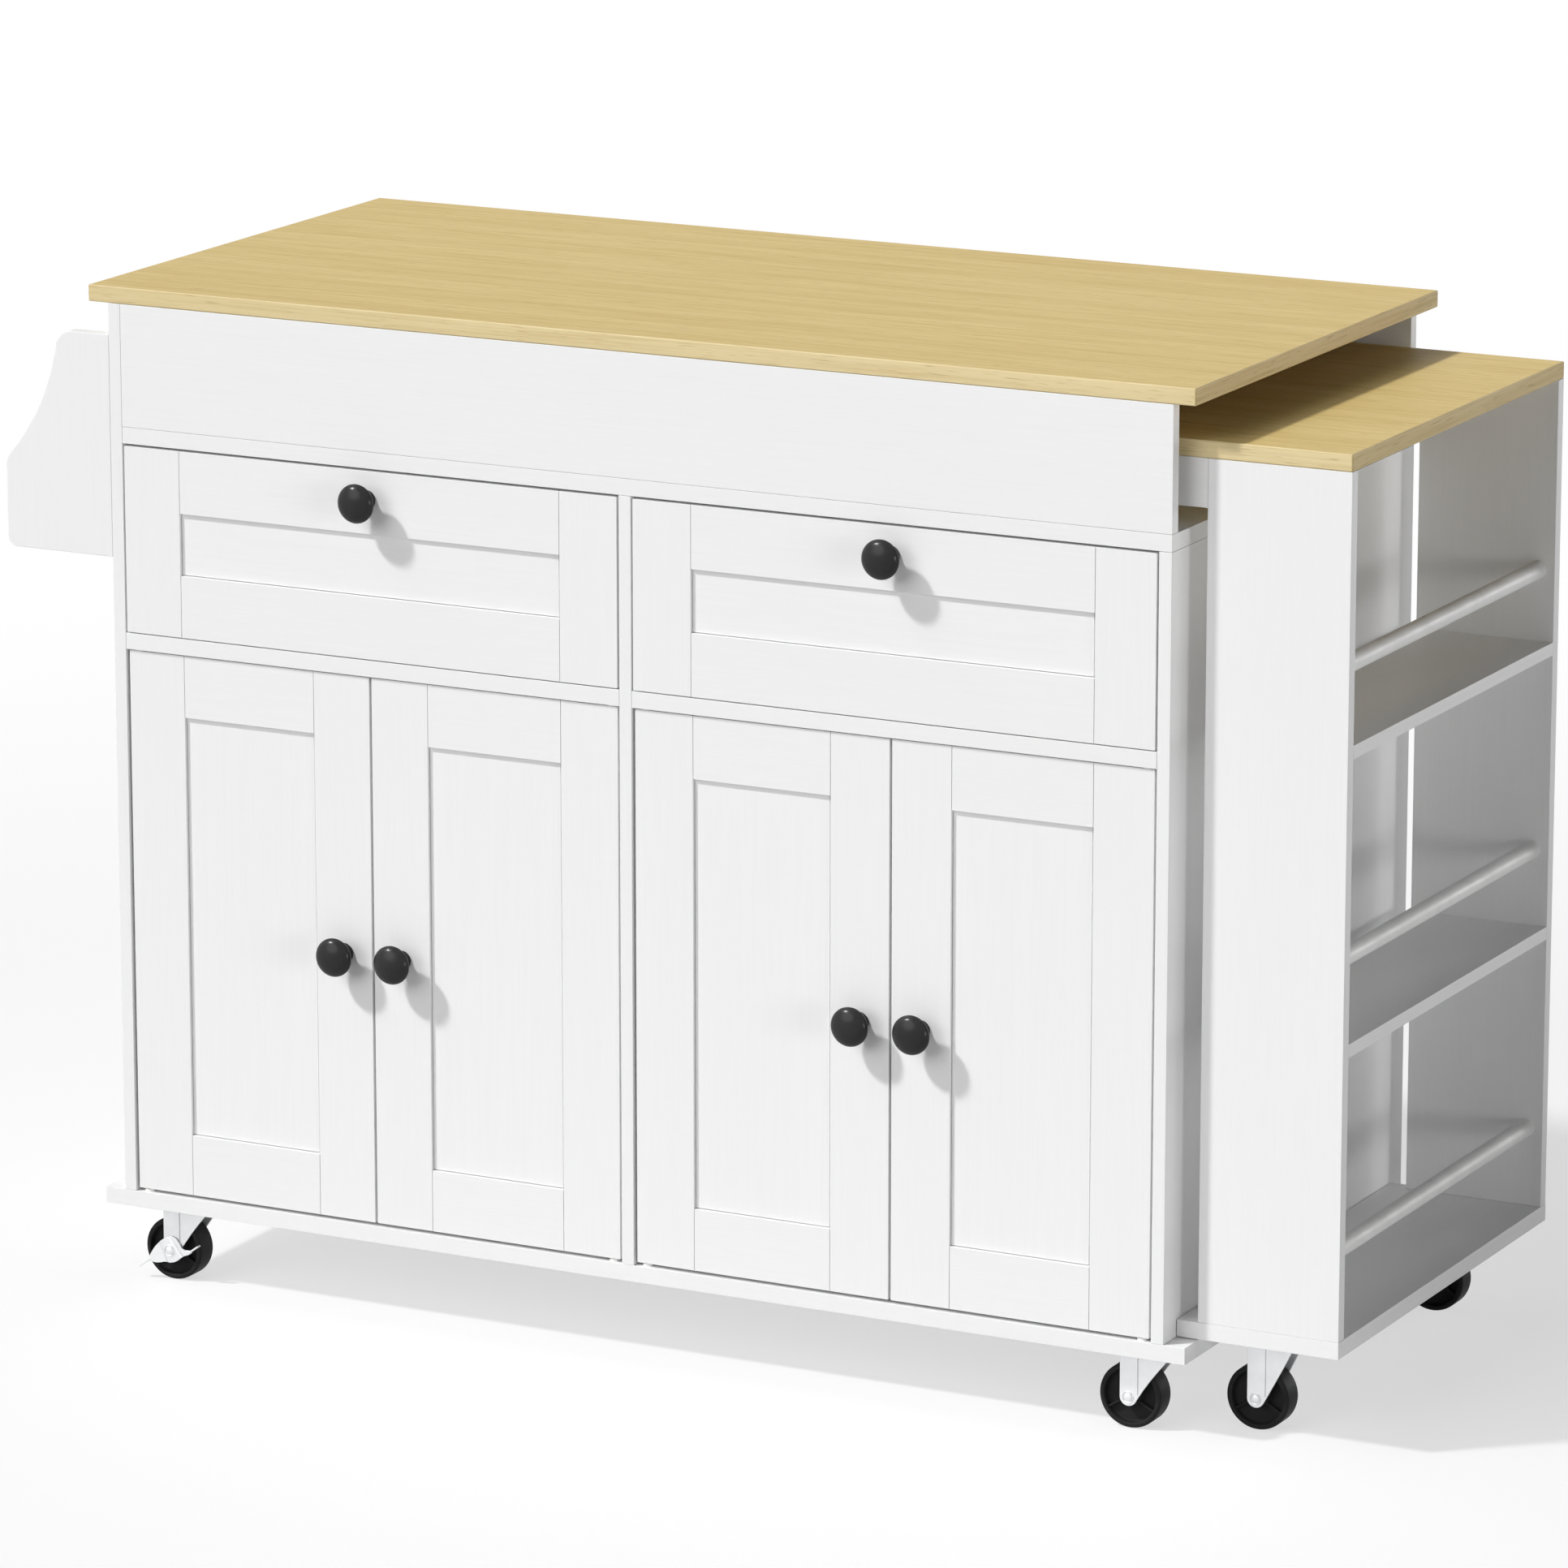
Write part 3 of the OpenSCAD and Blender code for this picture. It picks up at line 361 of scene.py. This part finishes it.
def joined(*pieces):
    take(*pieces)
    if len(pieces) > 1:
        bpy.ops.object.join()
    return bpy.context.object


def finished(name, body, slot, *pieces):
    """Joins what belongs to one piece and smooths its rounded places, flat faces kept flat. The
    piece then stands for the solid of that name, on its body."""
    piece = joined(*pieces)
    bpy.ops.object.shade_smooth_by_angle(angle=math.radians(50))
    bpy.ops.object.modifier_add(type="WEIGHTED_NORMAL")
    piece.modifiers[-1].keep_sharp = True
    bpy.ops.object.modifier_apply(modifier=piece.modifiers[-1].name)
    piece.name = piece.data.name = name + "_piece"
    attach(piece, body)
    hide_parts(name)


# ---- Cabinet ----

def laminated(name, body, *boards):
    """A part made of white laminated boards"""
    finished(name, body, "white_laminate", *boards)


base = board((-OVERHANG, 0, BASE), (WIDE + OVERHANG, DEEP, CABINET_FLOOR), white_along)
for x in PIVOTS:
    drilled(base, (x, PIVOT_Y, CABINET_FLOOR - 9), (0, 0, 1), 12, BUSH_HOLE)
laminated("base_board", "cabinet", base)
laminated("left_side_panel", "cabinet",
          board((0, 0, CABINET_FLOOR), (BOARD, DEEP, TOP), white_up, seam=HAIRLINE))
laminated("right_side_panel", "cabinet",
          board((WIDE - BOARD, 0, CABINET_FLOOR), (WIDE, DEEP, DECK), white_up, seam=HAIRLINE))
laminated("center_divider", "cabinet",
          board((BAYS[1] - BOARD, 0, CABINET_FLOOR), (BAYS[1], DEEP, DECK), white_up, seam=HAIRLINE))
laminated("deck_board", "cabinet", board((BOARD, 0, DECK), (WIDE, DEEP, SLOT), white_along, seam=HAIRLINE))
for name, y in (("front_fascia", 0), ("rear_fascia", DEEP - BOARD)):
    laminated(name, "cabinet",
              board((BOARD, y, SLOT), (WIDE, y + BOARD, TOP), white_along, seam=HAIRLINE))

rails = []
for left in BAYS:
    rail = board((left, 0, RAIL), (left + BAY, 60, SILL), white_along, seam=HAIRLINE)
    for x in (left + PIVOT_IN, left + BAY - PIVOT_IN):
        drilled(rail, (x, PIVOT_Y, RAIL - 1), (0, 0, 1), 10.1, BUSH_HOLE)
    rails.append(rail)
laminated("mid_rails", "cabinet", *rails)
laminated("back_panels", "cabinet",
          *[board((left, 507, CABINET_FLOOR), (left + BAY, 512, DECK), white_up) for left in BAYS])
laminated("inner_shelves", "cabinet",
          *[board((left + 1, 32, SHELF), (left + BAY - 1, 506, SHELF + BOARD), white_along) for left in BAYS])


def oak_board(low, high):
    """An oak-look top with its edge bands"""
    top = board(low, high, oak_top, 1.2)
    shape()
    for slot, (band, axis) in enumerate(((oak_edge, 1), (oak_end, 0)), 1):
        top.data.materials.append(band)
        pick("faces", lambda face: abs(face.normal[axis]) > 0.3)
        top.active_material_index = slot
        bpy.ops.object.material_slot_assign()
    bpy.ops.object.mode_set(mode="OBJECT")
    return top


finished("worktop", "cabinet", "oak_laminate",
         oak_board((-OVERHANG, 0, TOP), (WIDE + OVERHANG, DEEP, TOP + HEAVY_BOARD)))

# Guide strips for the sliding top, and the blocks that stop it
laminated("slide_guides", "cabinet",
          *[board((BOARD, y, SLOT), (1010, y + BOARD, SLOT + 30), white_along, 1.2)
            for y in (EXT_SIDES[0] + BOARD + GUIDE_GAP, EXT_SIDES[1] - BOARD - GUIDE_GAP)],
          *[board((942, y, SLOT), (960, y + BOARD, SLOT + 15), white_along, 1.2) for y in EXT_SIDES])

# Steel shelf pins with a thin collar
pin_shape = [(0, 0), (PIN - 0.3, 0), (PIN, 0.3), (PIN, 5), (3.9, 5), (3.9, 5.8), (PIN, 5.8), (PIN, 13.4),
             (PIN - 0.6, 14), (0, 14)]
pins = []
for y in (82, 456):
    for left in BAYS:
        for x, along in ((left - 5, 1), (left + BAY + 5, -1)):
            pins.append(turned(pin_shape, (x, y, SHELF - PIN - 0.1), (along, 0, 0), dull_zinc, 24))
finished("shelf_pins", "cabinet", "zinc_steel", *pins)


def screw(place, along):
    """A pan-head screw with a cross recess, seated at a place and standing out along a direction"""
    head_shape = [(0, 1.6), (1.4, 1.55), (2.6, 1.25), (3.3, 0.7), (3.5, 0.2), (3.5, 0), (2, -0.2), (2, -5),
                  (0, -7)]
    head = turned(head_shape, place, along, dull_zinc, 24)
    place, along = Vector(place), Vector(along)
    axes = (Vector((1, 0, 0)), Vector((0, 1, 0)), Vector((0, 0, 1)))
    sides = [axis for axis in axes if not axis.dot(along)]
    for across, other in (sides, sides[::-1]):
        reach = across * 2.1 + other * 0.4
        corners = (place + along * 0.8 - reach, place + along * 2 + reach)
        low = [min(pair) for pair in zip(*corners)]
        high = [max(pair) for pair in zip(*corners)]
        cut_away(head, board(low, high, dull_zinc, 0.05))
    return head


def channel(wall, tip, low, deep):
    """A folded steel channel along y: its web at x = wall, its lips reaching to x = tip"""
    start, length = 20, 400
    inner = wall + math.copysign(SHEET, tip - wall)
    outline = [(wall, low), (tip, low), (tip, low + SHEET), (inner, low + SHEET),
               (inner, low + deep - SHEET), (tip, low + deep - SHEET), (tip, low + deep), (wall, low + deep)]
    return cut_out([(x, start, z) for x, z in outline], (0, length, 0), dull_zinc, 0.3)


runners = []
for left in BAYS:
    for x, side in ((left, 1), (left + BAY, -1)):
        runners.append(channel(x, x + side * 10.7, SLIDE - 18, 36))
        runners += [screw((x + side * SHEET, y, SLIDE), (side, 0, 0)) for y in (60, 220, 380)]
finished("drawer_runners", "cabinet", "zinc_steel", *runners)


def bush(x, face, up, lip):
    """A white pivot bush let into a board, with its lip standing out"""
    outline = [(2.05, -8.9), (3.55, -8.9), (3.55, 0), (4.55, 0), (4.55, lip - 0.3), (4.25, lip), (2.35, lip),
               (2.05, lip - 0.3), (2.05, -8.9)]
    return turned(outline, (x, PIVOT_Y, face), (0, 0, up), moulded_white, 32)


hardware = []
for x in PIVOTS:
    hardware += [bush(x, CABINET_FLOOR, 1, 2.3), bush(x, RAIL, -1, 1.3)]
for x in (left + BAY / 2 for left in BAYS):
    # Magnetic catch: a moulded case, and the two pole plates that stand out of its front
    hardware.append(board((x - 23, 18.3, RAIL - 12), (x + 23, 31.1, RAIL), moulded_white, 1.4))
    hardware += [board((x - 16, 17.1, z), (x + 16, 22, z + 1.6), dull_zinc, 0.2)
                 for z in (RAIL - 9, RAIL - 4.6)]
finished("door_hardware", "cabinet", "white_plastic", *hardware)


# ---- Towel rack ----

def polar(centre, radius, turn):
    """The point at a radius and a turn in degrees from a centre"""
    turn = math.radians(turn)
    return (centre[0] + radius * math.cos(turn), centre[1] + radius * math.sin(turn))


def arc(centre, radius, start, end, steps):
    """The points of an arc between two turns"""
    return [polar(centre, radius, start + (end - start) * i / steps) for i in range(steps + 1)]


# Outwards from the cabinet and up from the lower edge: a rounded shelf end that sweeps in to the top
rack_outline = ([(0, 0)] + arc((99, 10), 10, -90, 0, 10) + arc((89, 72.4), 20, 0, 42, 8)
                + arc((254.1, 221.1), 202.2, 222, 190, 16)[1:] + arc((38.26, 183), 17, 10, 90, 10)[1:]
                + [(0, 200)])
laminated("rack_panels", "cabinet",
          *[cut_out([(-out, y, RACK + up) for out, up in rack_outline], (0, BOARD, 0), white_up, 0.6)
            for y in (0, DEEP - BOARD)])
finished("towel_rod", "cabinet", "white_dowel",
         bar((-90, RACK_ROD, RACK + 32), (0, 1, 0), DEEP - 2 * RACK_ROD, ROD, lacquer, 0.8, 48))


# ---- Slide-out shelf unit ----

finished("extension_top", "extension", "oak_laminate",
         oak_board((EXT_INNER, EXT_NEAR, EXT_TOP), (EXT_RIGHT, EXT_FAR, EXT_TOP + HEAVY_BOARD)))
laminated("extension_aprons", "extension",
          *[board((EXT_INNER, y, APRON), (EXT_LEFT, y + BOARD, EXT_TOP), white_along) for y in EXT_SIDES],
          board((EXT_INNER, EXT_SIDES[0] + BOARD + 0.1, CROSS_RAIL),
                (EXT_INNER + BOARD, EXT_SIDES[1] - 0.1, EXT_TOP), white_back))
laminated("extension_panels", "extension",
          *[board((EXT_LEFT, y, EXT_FLOOR), (EXT_RIGHT, y + BOARD, EXT_TOP), white_up, seam=HAIRLINE)
            for y in EXT_SIDES])
laminated("extension_shelves", "extension",
          *[board((EXT_LEFT, EXT_SIDES[0] + BOARD, z), (EXT_RIGHT, EXT_SIDES[1], z + BOARD), white_back,
                  seam=HAIRLINE) for z in EXT_SHELVES])
laminated("extension_base", "extension",
          board((WIDE + 0.6, EXT_NEAR, EXT_BASE), (EXT_RIGHT, EXT_FAR, EXT_FLOOR), white_back))
finished("extension_rails", "extension", "white_dowel",
         *[bar((EXT_RIGHT - 16, EXT_NEAR + 7, z), (0, 1, 0), EXT_FAR - EXT_NEAR - 14, ROD, lacquer, 0.8, 48)
           for z in EXT_RAILS])
finished("extension_glides", "extension", "white_plastic",
         *[board((EXT_INNER, y, SLOT + 0.2), (EXT_INNER + 60, y + BOARD, APRON), moulded_white, 1.5)
           for y in EXT_SIDES])


# ---- Knob, modelled once ----

# From the foot along the waist, round the rim and over the dome
knob_profile = ([(0, 0), (8.6, 0), (9, 0.4), (9, 1.6), (8.6, 2.5), (7.7, 3.8), (7, 5.4), (6.8, 7.4), (7, 9.4),
                 (7.8, 11.4), (8.9, 13)]
                + [(9 + 8.5 * math.sin(math.radians(a)), 19.3 - 5.3 * math.cos(math.radians(a)))
                   for a in range(9, 90, 9)]
                + [(17.5 * math.cos(math.radians(a)), 19.3 + 8.2 * math.sin(math.radians(a)))
                   for a in range(0, 90, 6)]
                + [(0, 27.5)])
knob = turned(knob_profile, (0, 0, 0), (0, -1, 0), powder_coat, 64)


def knob_at(name, body, x, y, z):
    finished(name, body, "black_paint", copied(knob, (x, y, z)))


# ---- Drawers ----

def panelled(left, front, low, width, height, panel_grain):
    """A front made of two stiles with two rails between them, and a panel sunk behind its face"""
    right, top, back = left + width, low + height, front + HEAVY_BOARD
    stiles = [board((x, front, low), (x + STILE, back, top), white_up, 0.2) for x in (left, right - STILE)]
    crossings = [board((left + STILE + 0.5, front, z), (right - STILE - 0.5, back, z + STILE), white_along,
                       0.2) for z in (low, top - STILE)]
    # The panel stands in a groove, which shows as a dark line at its right end
    right, bottom, top, deep = right - STILE, low + STILE + 0.7, top - STILE - 0.3, front + 8
    panel = joined(board((left + STILE + 0.4, front + 3, bottom), (right - 2.3, deep, top), panel_grain, 0.1),
                   board((right - 3, front + 6.5, bottom), (right - 0.1, deep, top), panel_grain, 0.1))
    return stiles + crossings, panel


def drawer(side, left):
    body = side + "_drawer"
    frame_boards, panel = panelled(left + 1.8, 0, SILL + 0.9, BAY - 3.6, DRAWER_HIGH, white_along)
    laminated(body + "_front", body, *frame_boards, panel)
    # The box behind it: sides, ends between them, and a thin bottom a little above their lower edges
    low, high = left + 12.7, left + BAY - 12.7
    front, back = HEAVY_BOARD + 0.1, 455.1
    bottom, rim = 621, 733
    inside = BOARD + 0.1
    laminated(body + "_box", body,
              *[board((x, front, bottom), (x + BOARD, back, rim), white_back) for x in (low, high - BOARD)],
              *[board((low + inside, y, bottom), (high - inside, y + BOARD, rim), white_along)
                for y in (front, back - BOARD)],
              board((low + inside, front + inside, bottom + 8), (high - inside, back - inside, bottom + 12),
                    white_along, 0.2))
    slides = [channel(wall, tip, SLIDE - 16.1, 32.2)
              for wall, tip in ((low, left + 1.9), (high, left + BAY - 1.9))]
    slides += [screw((x, y, SLIDE), (along, 0, 0)) for y in (100, 300)
               for x, along in ((low - SHEET, -1), (high + SHEET, 1))]
    finished(body + "_slides", body, "zinc_steel", *slides)
    knob_at(body + "_knob", body, left + BAY / 2, 0, DRAWER_KNOB)


for side, left in zip(("left", "right"), BAYS):
    drawer(side, left)


# ---- Doors ----

def door(number, left, pivot, knob_x):
    body = f"door_{number}"
    frame_boards, panel = panelled(left, DOOR_FACE, CABINET_FLOOR + 3, DOOR_WIDE, DOOR_HIGH, white_up)
    pivots = [bar((pivot, PIVOT_Y, z), (0, 0, 1), 16, 2, dull_zinc, 0.3, 24)
              for z in (CABINET_FLOOR - 8, RAIL - 8)]
    laminated(body + "_frame", body, *frame_boards, *pivots)
    laminated(body + "_panel", body, panel)
    knob_at(body + "_knob", body, knob_x, DOOR_FACE, DOOR_KNOB)


for first, bay in zip((1, 3), BAYS):
    left, right = bay + DOOR_GAP, bay + BAY - DOOR_GAP - DOOR_WIDE
    door(first, left, bay + PIVOT_IN, left + DOOR_WIDE - STILE / 2)
    door(first + 1, right, bay + BAY - PIVOT_IN, right + STILE / 2)
bpy.data.objects.remove(knob)


# ---- Casters, modelled once with the swivel pin at x = 0, y = 0 and copied to their places ----

# Each one's swivel pin, and the underside that its plate is screwed to
CASTERS = {"front_left": (49, 36, BASE), "rear_left": (49, 479, BASE), "front_right": (1002, 36, BASE),
           "rear_right": (1002, 479, BASE), "extension_front": (1101, 81, EXT_BASE),
           "extension_rear": (1101, 466, EXT_BASE)}
AXLE = (-14, 29)  # its x and z
WHEEL = 29        # the wheel's radius
LEG = (13, 15)    # inner and outer face of a fork's leg, from the middle
LEVER = 18.2      # outer face of the brake lever, which sits on the front leg


def mounting(under):
    """Mounting plate with rounded corners, its ball race and four screws"""
    corners = [place for turn, x, y in ((0, 17, 17), (90, -17, 17), (180, -17, -17), (270, 17, -17))
               for place in arc((x, y), 4, turn, turn + 90, 6)]
    plate = cut_out([(x, y, under - 2) for x, y in corners], (0, 0, 2), dull_zinc)
    drilled(plate, (0, 0, under - 3), (0, 0, 1), 4, 4.05)
    race_shape = [(4.05, 0), (14.6, 0), (15.6, 0.4), (16, 1.4), (15.3, 2.2), (15.3, 3), (4.05, 3), (4.05, 0)]
    race = turned(race_shape, (0, 0, under - 5), (0, 0, 1), bright_zinc)
    heads = [screw((x, y, under - 2), (0, 0, -1)) for x in (-16, 16) for y in (-16, 16)]
    return joined(plate, race, *heads)


def leg(side, top):
    """One leg of a fork: a straight strip round the axle, folded in along its edge to a swept flange"""
    x, z = AXLE
    low, mid, high = polar(AXLE, 8, -30), (x + 17, z + 14), (22, top)
    sweep = [tuple((1 - t) ** 2 * a + 2 * t * (1 - t) * b + t * t * c for a, b, c in zip(low, mid, high))
             for t in [i / 12 for i in range(1, 13)]]
    outline = arc(AXLE, 8, -180, -30, 18) + sweep + [(x - 8, top)]
    thick = (0, side * (LEG[1] - LEG[0]), 0)
    piece = cut_out([(a, side * LEG[0], b) for a, b in outline], thick, bright_zinc, 0)
    shape()
    # The flange leans in a little beside the strip
    for fold, push in ((9.4, 0), (10.4, 0.4), (16, 0.3), (24, 0.2)):
        bpy.ops.mesh.select_all(action="SELECT")
        bpy.ops.mesh.bisect(plane_co=spot(x + fold, 0, 0), plane_no=(1, 0, 0))
        if push:
            edge_x = spot(x + fold, 0, 0).x - SLACK
            pick("verts", lambda vert: vert.co.x > edge_x)
            bpy.ops.transform.translate(value=(0, -side * push / 1000, 0))
    ease(0.35, 60)
    piece = coated(bright_zinc)
    # A fold line is pressed in between them
    near, far = sorted((side * (LEG[1] - 1.2), side * (LEG[1] + 1)))
    return cut_away(piece, board((x + 8.5, near, z + 3), (x + 9.7, far, top + 2), bright_zinc, 0.05))


def rivet(y, along, foot):
    """A rivet head: a nearly flat button in a ring, with a deep groove between them. Its foot lies
    that far out from the face."""
    groove = foot + 0.2
    head_shape = [(0, 1.6), (2.4, 1.5), (3.3, 1.2), (3.6, 0.8), (3.65, groove), (4.6, groove), (4.65, 0.9),
                  (4.9, 1.05), (5.2, 0.7), (5.2, foot), (0, foot)]
    return turned(head_shape, (AXLE[0], y, AXLE[1]), (0, along, 0), bright_zinc)


def fork(under, braked):
    """Two legs under a crown with rounded corners, with the swivel pin, the axle and its heads"""
    crown = under - 7.3
    reach = LEG[1]
    front = LEVER if braked else reach
    corners = [(-22, -reach), (13, -reach)] + arc((13, -6), 9, -60, 60, 8) + [(13, reach), (-22, reach)]
    top = cut_out([(x, y, crown) for x, y in corners], (0, 0, 2), bright_zinc, 0.5)
    pin_shape = [(0, 0), (4, 0), (4, 4.6), (3.6, 5.1), (0, 5.1)]
    pin = turned(pin_shape, (0, 0, crown + 2), (0, 0, 1), bright_zinc, 32)
    axle = bar((AXLE[0], -front, AXLE[1]), (0, 1, 0), front + reach, 3, bright_zinc, 0.1)
    return joined(leg(-1, crown + 1), leg(1, crown + 1), top, pin, axle,
                  rivet(-front, -1, 0 if braked else -0.8), rivet(reach, 1, -0.8))


def rolling_wheel():
    """A one-piece wheel: a broad tread with rounded shoulders, a dish in each face and three ribs"""
    half = [(3.05, 11.2), (3.4, 11.5), (8.2, 11.5), (8.9, 11.1), (9.2, 10.4), (9.5, 6.4), (10.4, 5.5),
            (22.4, 5.5), (23.5, 6.3), (23.8, 7.4), (24.1, 10.6), (24.6, 11.3), (25.4, 11.5), (26.6, 11.4),
            (27.8, 10.9), (28.6, 10), (28.95, 8.8)]
    profile = half + [(WHEEL, 0)] + [(radius, -way) for radius, way in reversed(half)] + [half[0]]
    x, z = AXLE
    tread = turned(profile, (x, 0, z), (0, 1, 0), moulded_black, 96)
    ribs = []
    for turn in (91, 211, 331):
        board((x + 8.4, -9.6, z - 0.8), (x + 24.6, 9.6, z + 0.8), moulded_black, 0.25)
        shape()
        bpy.ops.transform.rotate(value=math.radians(turn), orient_axis="Y", center_override=spot(x, 0, z))
        ribs.append(coated(moulded_black))
    return joined(tread, *ribs)


def lever():
    """The stamped brake lever: a leaf-shaped plate, raised round the axle, with bent wings and a foot
    pad at each end"""
    leaf = [(-22.5, -9.2), (-20, -4.6), (-17.5, -0.5), (-15, 2.8), (-12.3, 5.6), (-9.3, 8.2), (-6, 10.4),
            (-2.7, 12.4), (0.6, 13.1), (4.2, 12.4), (7, 10.8), (9.2, 8), (11, 5), (12.8, 3), (15, 2),
            (18.5, 2.1), (22.5, 2.6), (22.9, 1.4), (22.5, 0.2), (20.5, -1.2), (18.5, -2.3), (16, -3.2),
            (13.5, -4.3), (11, -6.2), (8.4, -8.5), (4.6, -10.5), (0.6, -11.5), (-3.2, -11.6), (-7, -11.9),
            (-9.7, -12.8), (-12.3, -13.2), (-15, -13.5), (-17.5, -13.4), (-20.2, -12.8), (-22.5, -11.8)]
    x, z = AXLE
    plate = cut_out([(x + a, -LEVER, z + b) for a, b in leaf], (0, SHEET, 0), bright_zinc, 0)
    shape()
    # Bent in along slanting lines on both sides of the raised middle, and out again at the tips
    for place, turn, push in ((6.2, 205, 0), (7.2, 205, 1), (8.5, 205, 0.3), (14, 205, -0.4), (18, 205, -0.4),
                              (6, 35, 0), (7.2, 35, 1.4), (8.8, 35, -0.9), (13, 10, 0.5), (17, 10, -0.4)):
        across = Vector((math.cos(math.radians(turn)), 0, math.sin(math.radians(turn))))
        edge = spot(x, 0, z) + across * place / 1000
        bpy.ops.mesh.select_all(action="SELECT")
        bpy.ops.mesh.bisect(plane_co=edge, plane_no=across)
        if push:
            pick("verts", lambda vert: (vert.co - edge).dot(across) > -SLACK)
            bpy.ops.transform.translate(value=(0, push / 1000, 0))
    ease(0.3, 60)
    plate = coated(bright_zinc)
    drilled(plate, (x, -20, z), (0, 1, 0), 6, 3.05)
    pads = []
    for start, turn in ((Vector((20.5, 0, 0.6)), 36), (Vector((-21.3, 0, -11)), 216)):
        run = Vector((math.cos(math.radians(turn)), 0, math.sin(math.radians(turn))))
        lift = Vector((-run.z, 0, run.x)) * SHEET / 2
        near = Vector((x, -20.6, z)) + start
        far = near + run * 13
        pads.append(cut_out([near - lift, far - lift, far + lift, near + lift], (0, 5, 0), bright_zinc, 0.3))
    return joined(plate, *pads)


plates = {under: mounting(under) for under in (BASE, EXT_BASE)}
forks = {(under, braked): fork(under, braked)
         for under, braked in ((BASE, True), (BASE, False), (EXT_BASE, False))}
wheel = rolling_wheel()
stamped = lever()
for name, (x, y, under) in CASTERS.items():
    braked = name.endswith("left")
    finished(name + "_fork", name + "_fork", "bright_zinc", copied(forks[under, braked], (x, y, 0)))
    finished(name + "_wheel", name + "_wheel", "black_plastic", copied(wheel, (x, y, 0)))
    if braked:
        finished(name + "_brake_lever", name + "_brake_lever", "bright_zinc", copied(stamped, (x, y, 0)))
for name, under, body in (("caster_plates", BASE, "cabinet"),
                          ("extension_caster_plates", EXT_BASE, "extension")):
    finished(name, body, "zinc_steel",
             *[copied(plates[under], (x, y, 0)) for x, y, height in CASTERS.values() if height == under])
for pattern in (*plates.values(), *forks.values(), wheel, stamped):
    bpy.data.objects.remove(pattern)


# ---- Floor, light and camera ----

def seen_by_eye(tree):
    """1 for what the camera sees, directly, in a reflection or through glass, and 0 for other light"""
    path = add(tree, "LightPath", {}, {})
    seen = path.outputs["Is Camera Ray"]
    for ray in ("Is Glossy Ray", "Is Transmission Ray"):
        seen = add(tree, "Math", {"operation": "MAXIMUM"}, {0: seen, 1: path.outputs[ray]}).outputs[0]
    return seen


cleared()
bpy.ops.mesh.primitive_plane_add(size=40)
floor = bpy.context.object
floor.name = "floor"
shape()
bpy.ops.mesh.subdivide(number_cuts=7)
paper, tree, shader = finish_named("white_paper_floor")
tree.nodes.remove(shader)
# Seen by the camera or in a reflection the floor is white and keeps the island's shadow, which
# fades into pure white further out. For all other light it is plain grey paper.
GLOW = 0.62        # the share of the white that no shadow takes away
FADE = (1.3, 3.2)  # metres from the middle, where the shadow begins to fade and where it ends
seen = seen_by_eye(tree)
places = add(tree, "TexCoord", {}, {})
away = add(tree, "VectorMath", {"operation": "LENGTH"}, {0: places.outputs["Object"]}).outputs["Value"]
fade = add(tree, "MapRange", {"interpolation_type": "SMOOTHSTEP"},
           {"Value": away, "From Min": FADE[0], "From Max": FADE[1]}).outputs["Result"]
lit = add(tree, "BsdfDiffuse", {}, {"Color": "#FAFAFA"}).outputs[0]
glow = add(tree, "Emission", {}, {"Strength": 1.0}).outputs[0]
near = add(tree, "MixShader", {}, {0: GLOW, 1: lit, 2: glow}).outputs[0]
shown = add(tree, "MixShader", {}, {0: fade, 1: near, 2: glow}).outputs[0]
dull = add(tree, "BsdfDiffuse", {}, {"Color": "#C0C0C0"}).outputs[0]
both = add(tree, "MixShader", {}, {0: seen, 1: dull, 2: shown}).outputs[0]
tree.links.new(both, tree.nodes["Material Output"].inputs["Surface"])
coated(paper)

world = bpy.data.worlds.new("studio")
bpy.context.scene.world = world
world.use_nodes = True
tree = world.node_tree
tree.nodes.clear()
# Seen directly or in a reflection the sky is white. It adds little light of its own.
strength = add(tree, "Math", {"operation": "MAXIMUM"}, {0: seen_by_eye(tree), 1: 0.02}).outputs[0]
sky = add(tree, "Background", {}, {"Color": "#FFFFFF", "Strength": strength}).outputs[0]
add(tree, "OutputWorld", {}, {"Surface": sky})


def sunlight(name, way, energy, spread):
    """Light that travels along a direction. Its spread in degrees makes its shadows soft."""
    bpy.ops.object.light_add(type="SUN", location=(0, 0, 3))
    lamp = bpy.context.object
    lamp.name = name
    lamp.rotation_euler = Vector(way).to_track_quat("-Z", "Y").to_euler()
    lamp.data.energy = energy
    lamp.data.angle = math.radians(spread)


# The key light comes from the front left and from above, as the knobs' shadows show. A large
# softbox hangs overhead on the same side, and broad weak lights fill the front, right and rear.
sunlight("key", (0.522, 0.45, -0.725), 2.4, 4.5)
sunlight("ceiling", (0.5, 0.35, -0.8), 0.4, 30)
sunlight("front_fill", (0.35, 0.85, -0.42), 1.05, 40)
sunlight("right_fill", (-0.92, 0.38, -0.04), 0.85, 20)
sunlight("rear_fill", (-0.35, -0.93, 0), 1.6, 25)

# The camera stands 6 m before the island and 3 m to the right of its middle, higher than the
# worktop, and looks down a little through a long lens
PITCH, TURN = 13.609, 27.113
bpy.ops.object.camera_add(location=spot(3803, -6121.6, 2202),
                          rotation=(math.radians(90 - PITCH), 0, math.radians(TURN)))
camera = bpy.context.object
camera.data.sensor_width = 36
camera.data.lens = 190.085
camera.data.clip_end = 100
bpy.context.scene.camera = camera
bpy.context.scene.view_settings.view_transform = "Standard"
